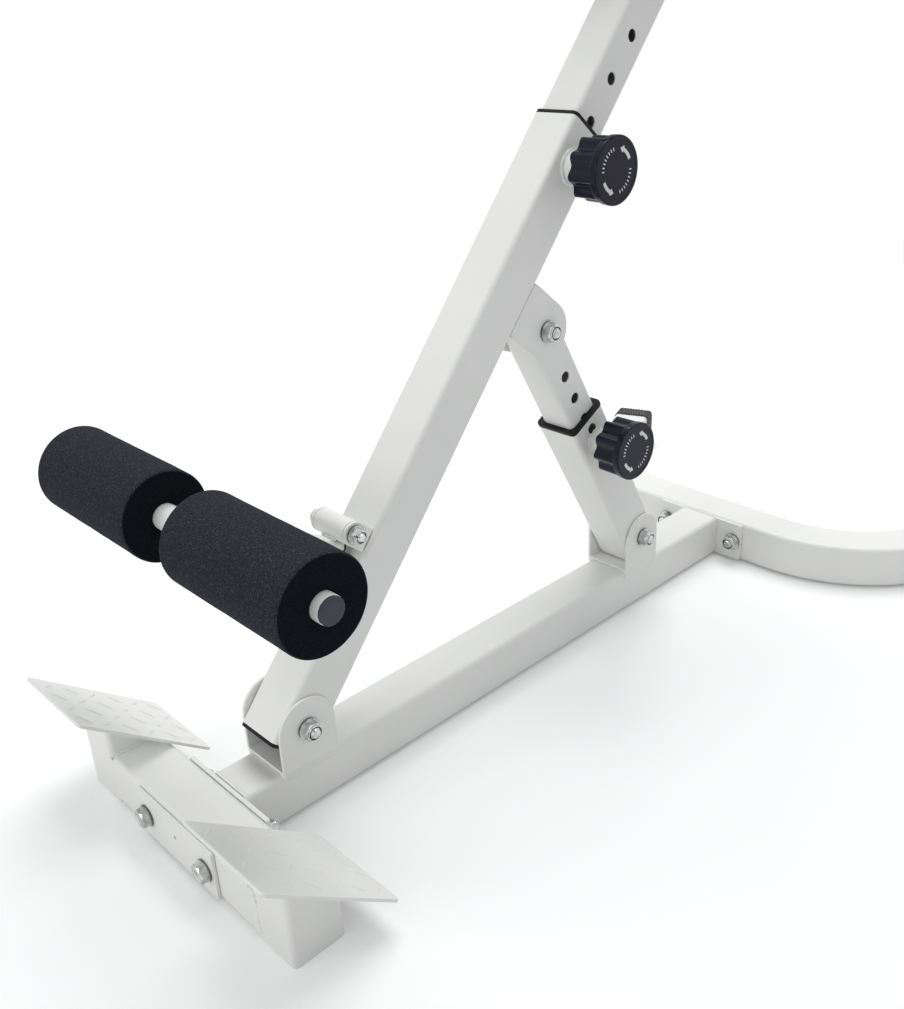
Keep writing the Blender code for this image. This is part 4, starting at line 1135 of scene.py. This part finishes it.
def addCamera():
    deselectAll()
    bpy.ops.object.camera_add()
    camera = bpy.context.object
    tip = Matrix.Rotation(math.radians(90 - cameraSet["elevation"]), 4, 'X')
    turn = turnZ(cameraSet["azimuth"]) @ tip @ turnZ(cameraSet["roll"])
    camera.matrix_world = Matrix.Translation(cameraSet["place"]) @ turn
    camera.data.lens = cameraSet["lens"]
    camera.data.sensor_width = 36
    camera.data.clip_start = 0.02
    bpy.context.scene.camera = camera


addCamera()

# white floor and surround: the floor keeps the shadows and fades to plain white away from the bench
studio = {"floor": 60.0, "paper": 0.80, "keep": 0.90, "glow": 0.12, "fadeFrom": 0.9, "fadeTo": 2.2,
          "world": 0.56, "sky": (0.97, 0.985, 1, 1)}


def largerOf(tree, first, second):
    made = addNode(tree, "Math", sources={0: first, 1: second})
    made.operation = 'MAXIMUM'
    return made.outputs[0]


def seenRays(tree):  # 1 for rays from the camera, mirrors and clear things, 0 for rays that carry light
    path = addNode(tree, "LightPath").outputs
    either = largerOf(tree, path["Is Camera Ray"], path["Is Glossy Ray"])
    return largerOf(tree, either, path["Is Transmission Ray"])


def mixShaders(tree, share, first, second):
    return addNode(tree, "MixShader", sources={0: share, 1: first.outputs[0], 2: second.outputs[0]})


def addFloor():
    deselectAll()
    bpy.ops.mesh.primitive_plane_add(size=studio["floor"])
    floor = bpy.context.object
    floor.name = "studioFloor"
    made = bpy.data.materials.new("studioPaper")
    made.use_nodes = True
    tree = made.node_tree
    tree.nodes.clear()
    paper = addNode(tree, "BsdfDiffuse", {"Color": (studio["paper"],) * 3 + (1,)})
    shaded = addNode(tree, "BsdfDiffuse", {"Color": (studio["keep"],) * 3 + (1,)})
    glow = addNode(tree, "Emission", {"Strength": studio["glow"]})
    lifted = addNode(tree, "AddShader", sources={0: shaded.outputs[0], 1: glow.outputs[0]})
    plain = addNode(tree, "Emission", {"Strength": 1.0})
    distance = addNode(tree, "VectorMath", sources={0: addNode(tree, "TexCoord").outputs["Object"]})
    distance.operation = 'LENGTH'
    fade = addNode(tree, "MapRange", {"From Min": studio["fadeFrom"], "From Max": studio["fadeTo"]},
                   {"Value": distance.outputs["Value"]})
    fade.interpolation_type = 'SMOOTHSTEP'
    shown = mixShaders(tree, fade.outputs["Result"], lifted, plain)
    mix = mixShaders(tree, seenRays(tree), paper, shown)
    addNode(tree, "OutputMaterial", sources={"Surface": mix.outputs[0]})
    floor.data.materials.append(made)


def addWorld():
    world = bpy.data.worlds.new("studioWorld")
    bpy.context.scene.world = world
    world.use_nodes = True
    tree = world.node_tree
    tree.nodes.clear()
    light = addNode(tree, "Background", {"Color": studio["sky"], "Strength": studio["world"]})
    white = addNode(tree, "Background", {"Color": (1, 1, 1, 1), "Strength": 1.0})
    mix = mixShaders(tree, seenRays(tree), light, white)
    addNode(tree, "OutputWorld", sources={"Surface": mix.outputs[0]})


def addLamp(name, place, target, size, power):
    deselectAll()
    bpy.ops.object.light_add(type='AREA', location=place)
    lamp = bpy.context.object
    lamp.name = name
    lamp.data.shape = 'RECTANGLE'
    lamp.data.size = size[0]
    lamp.data.size_y = size[1]
    lamp.data.energy = power
    lamp.rotation_euler = (Vector(target) - Vector(place)).to_track_quat('-Z', 'Y').to_euler()


addFloor()
addWorld()
addLamp("topSoftbox", (-0.5, 0.85, 3.2), (0, 0, 0.2), (2.2, 2.2), 64)
addLamp("frontFill", (-0.5, -3.0, 1.2), (0, 0, 0.3), (2.0, 1.4), 20)
bpy.context.scene.view_settings.view_transform = 'Standard'
print("stage set")
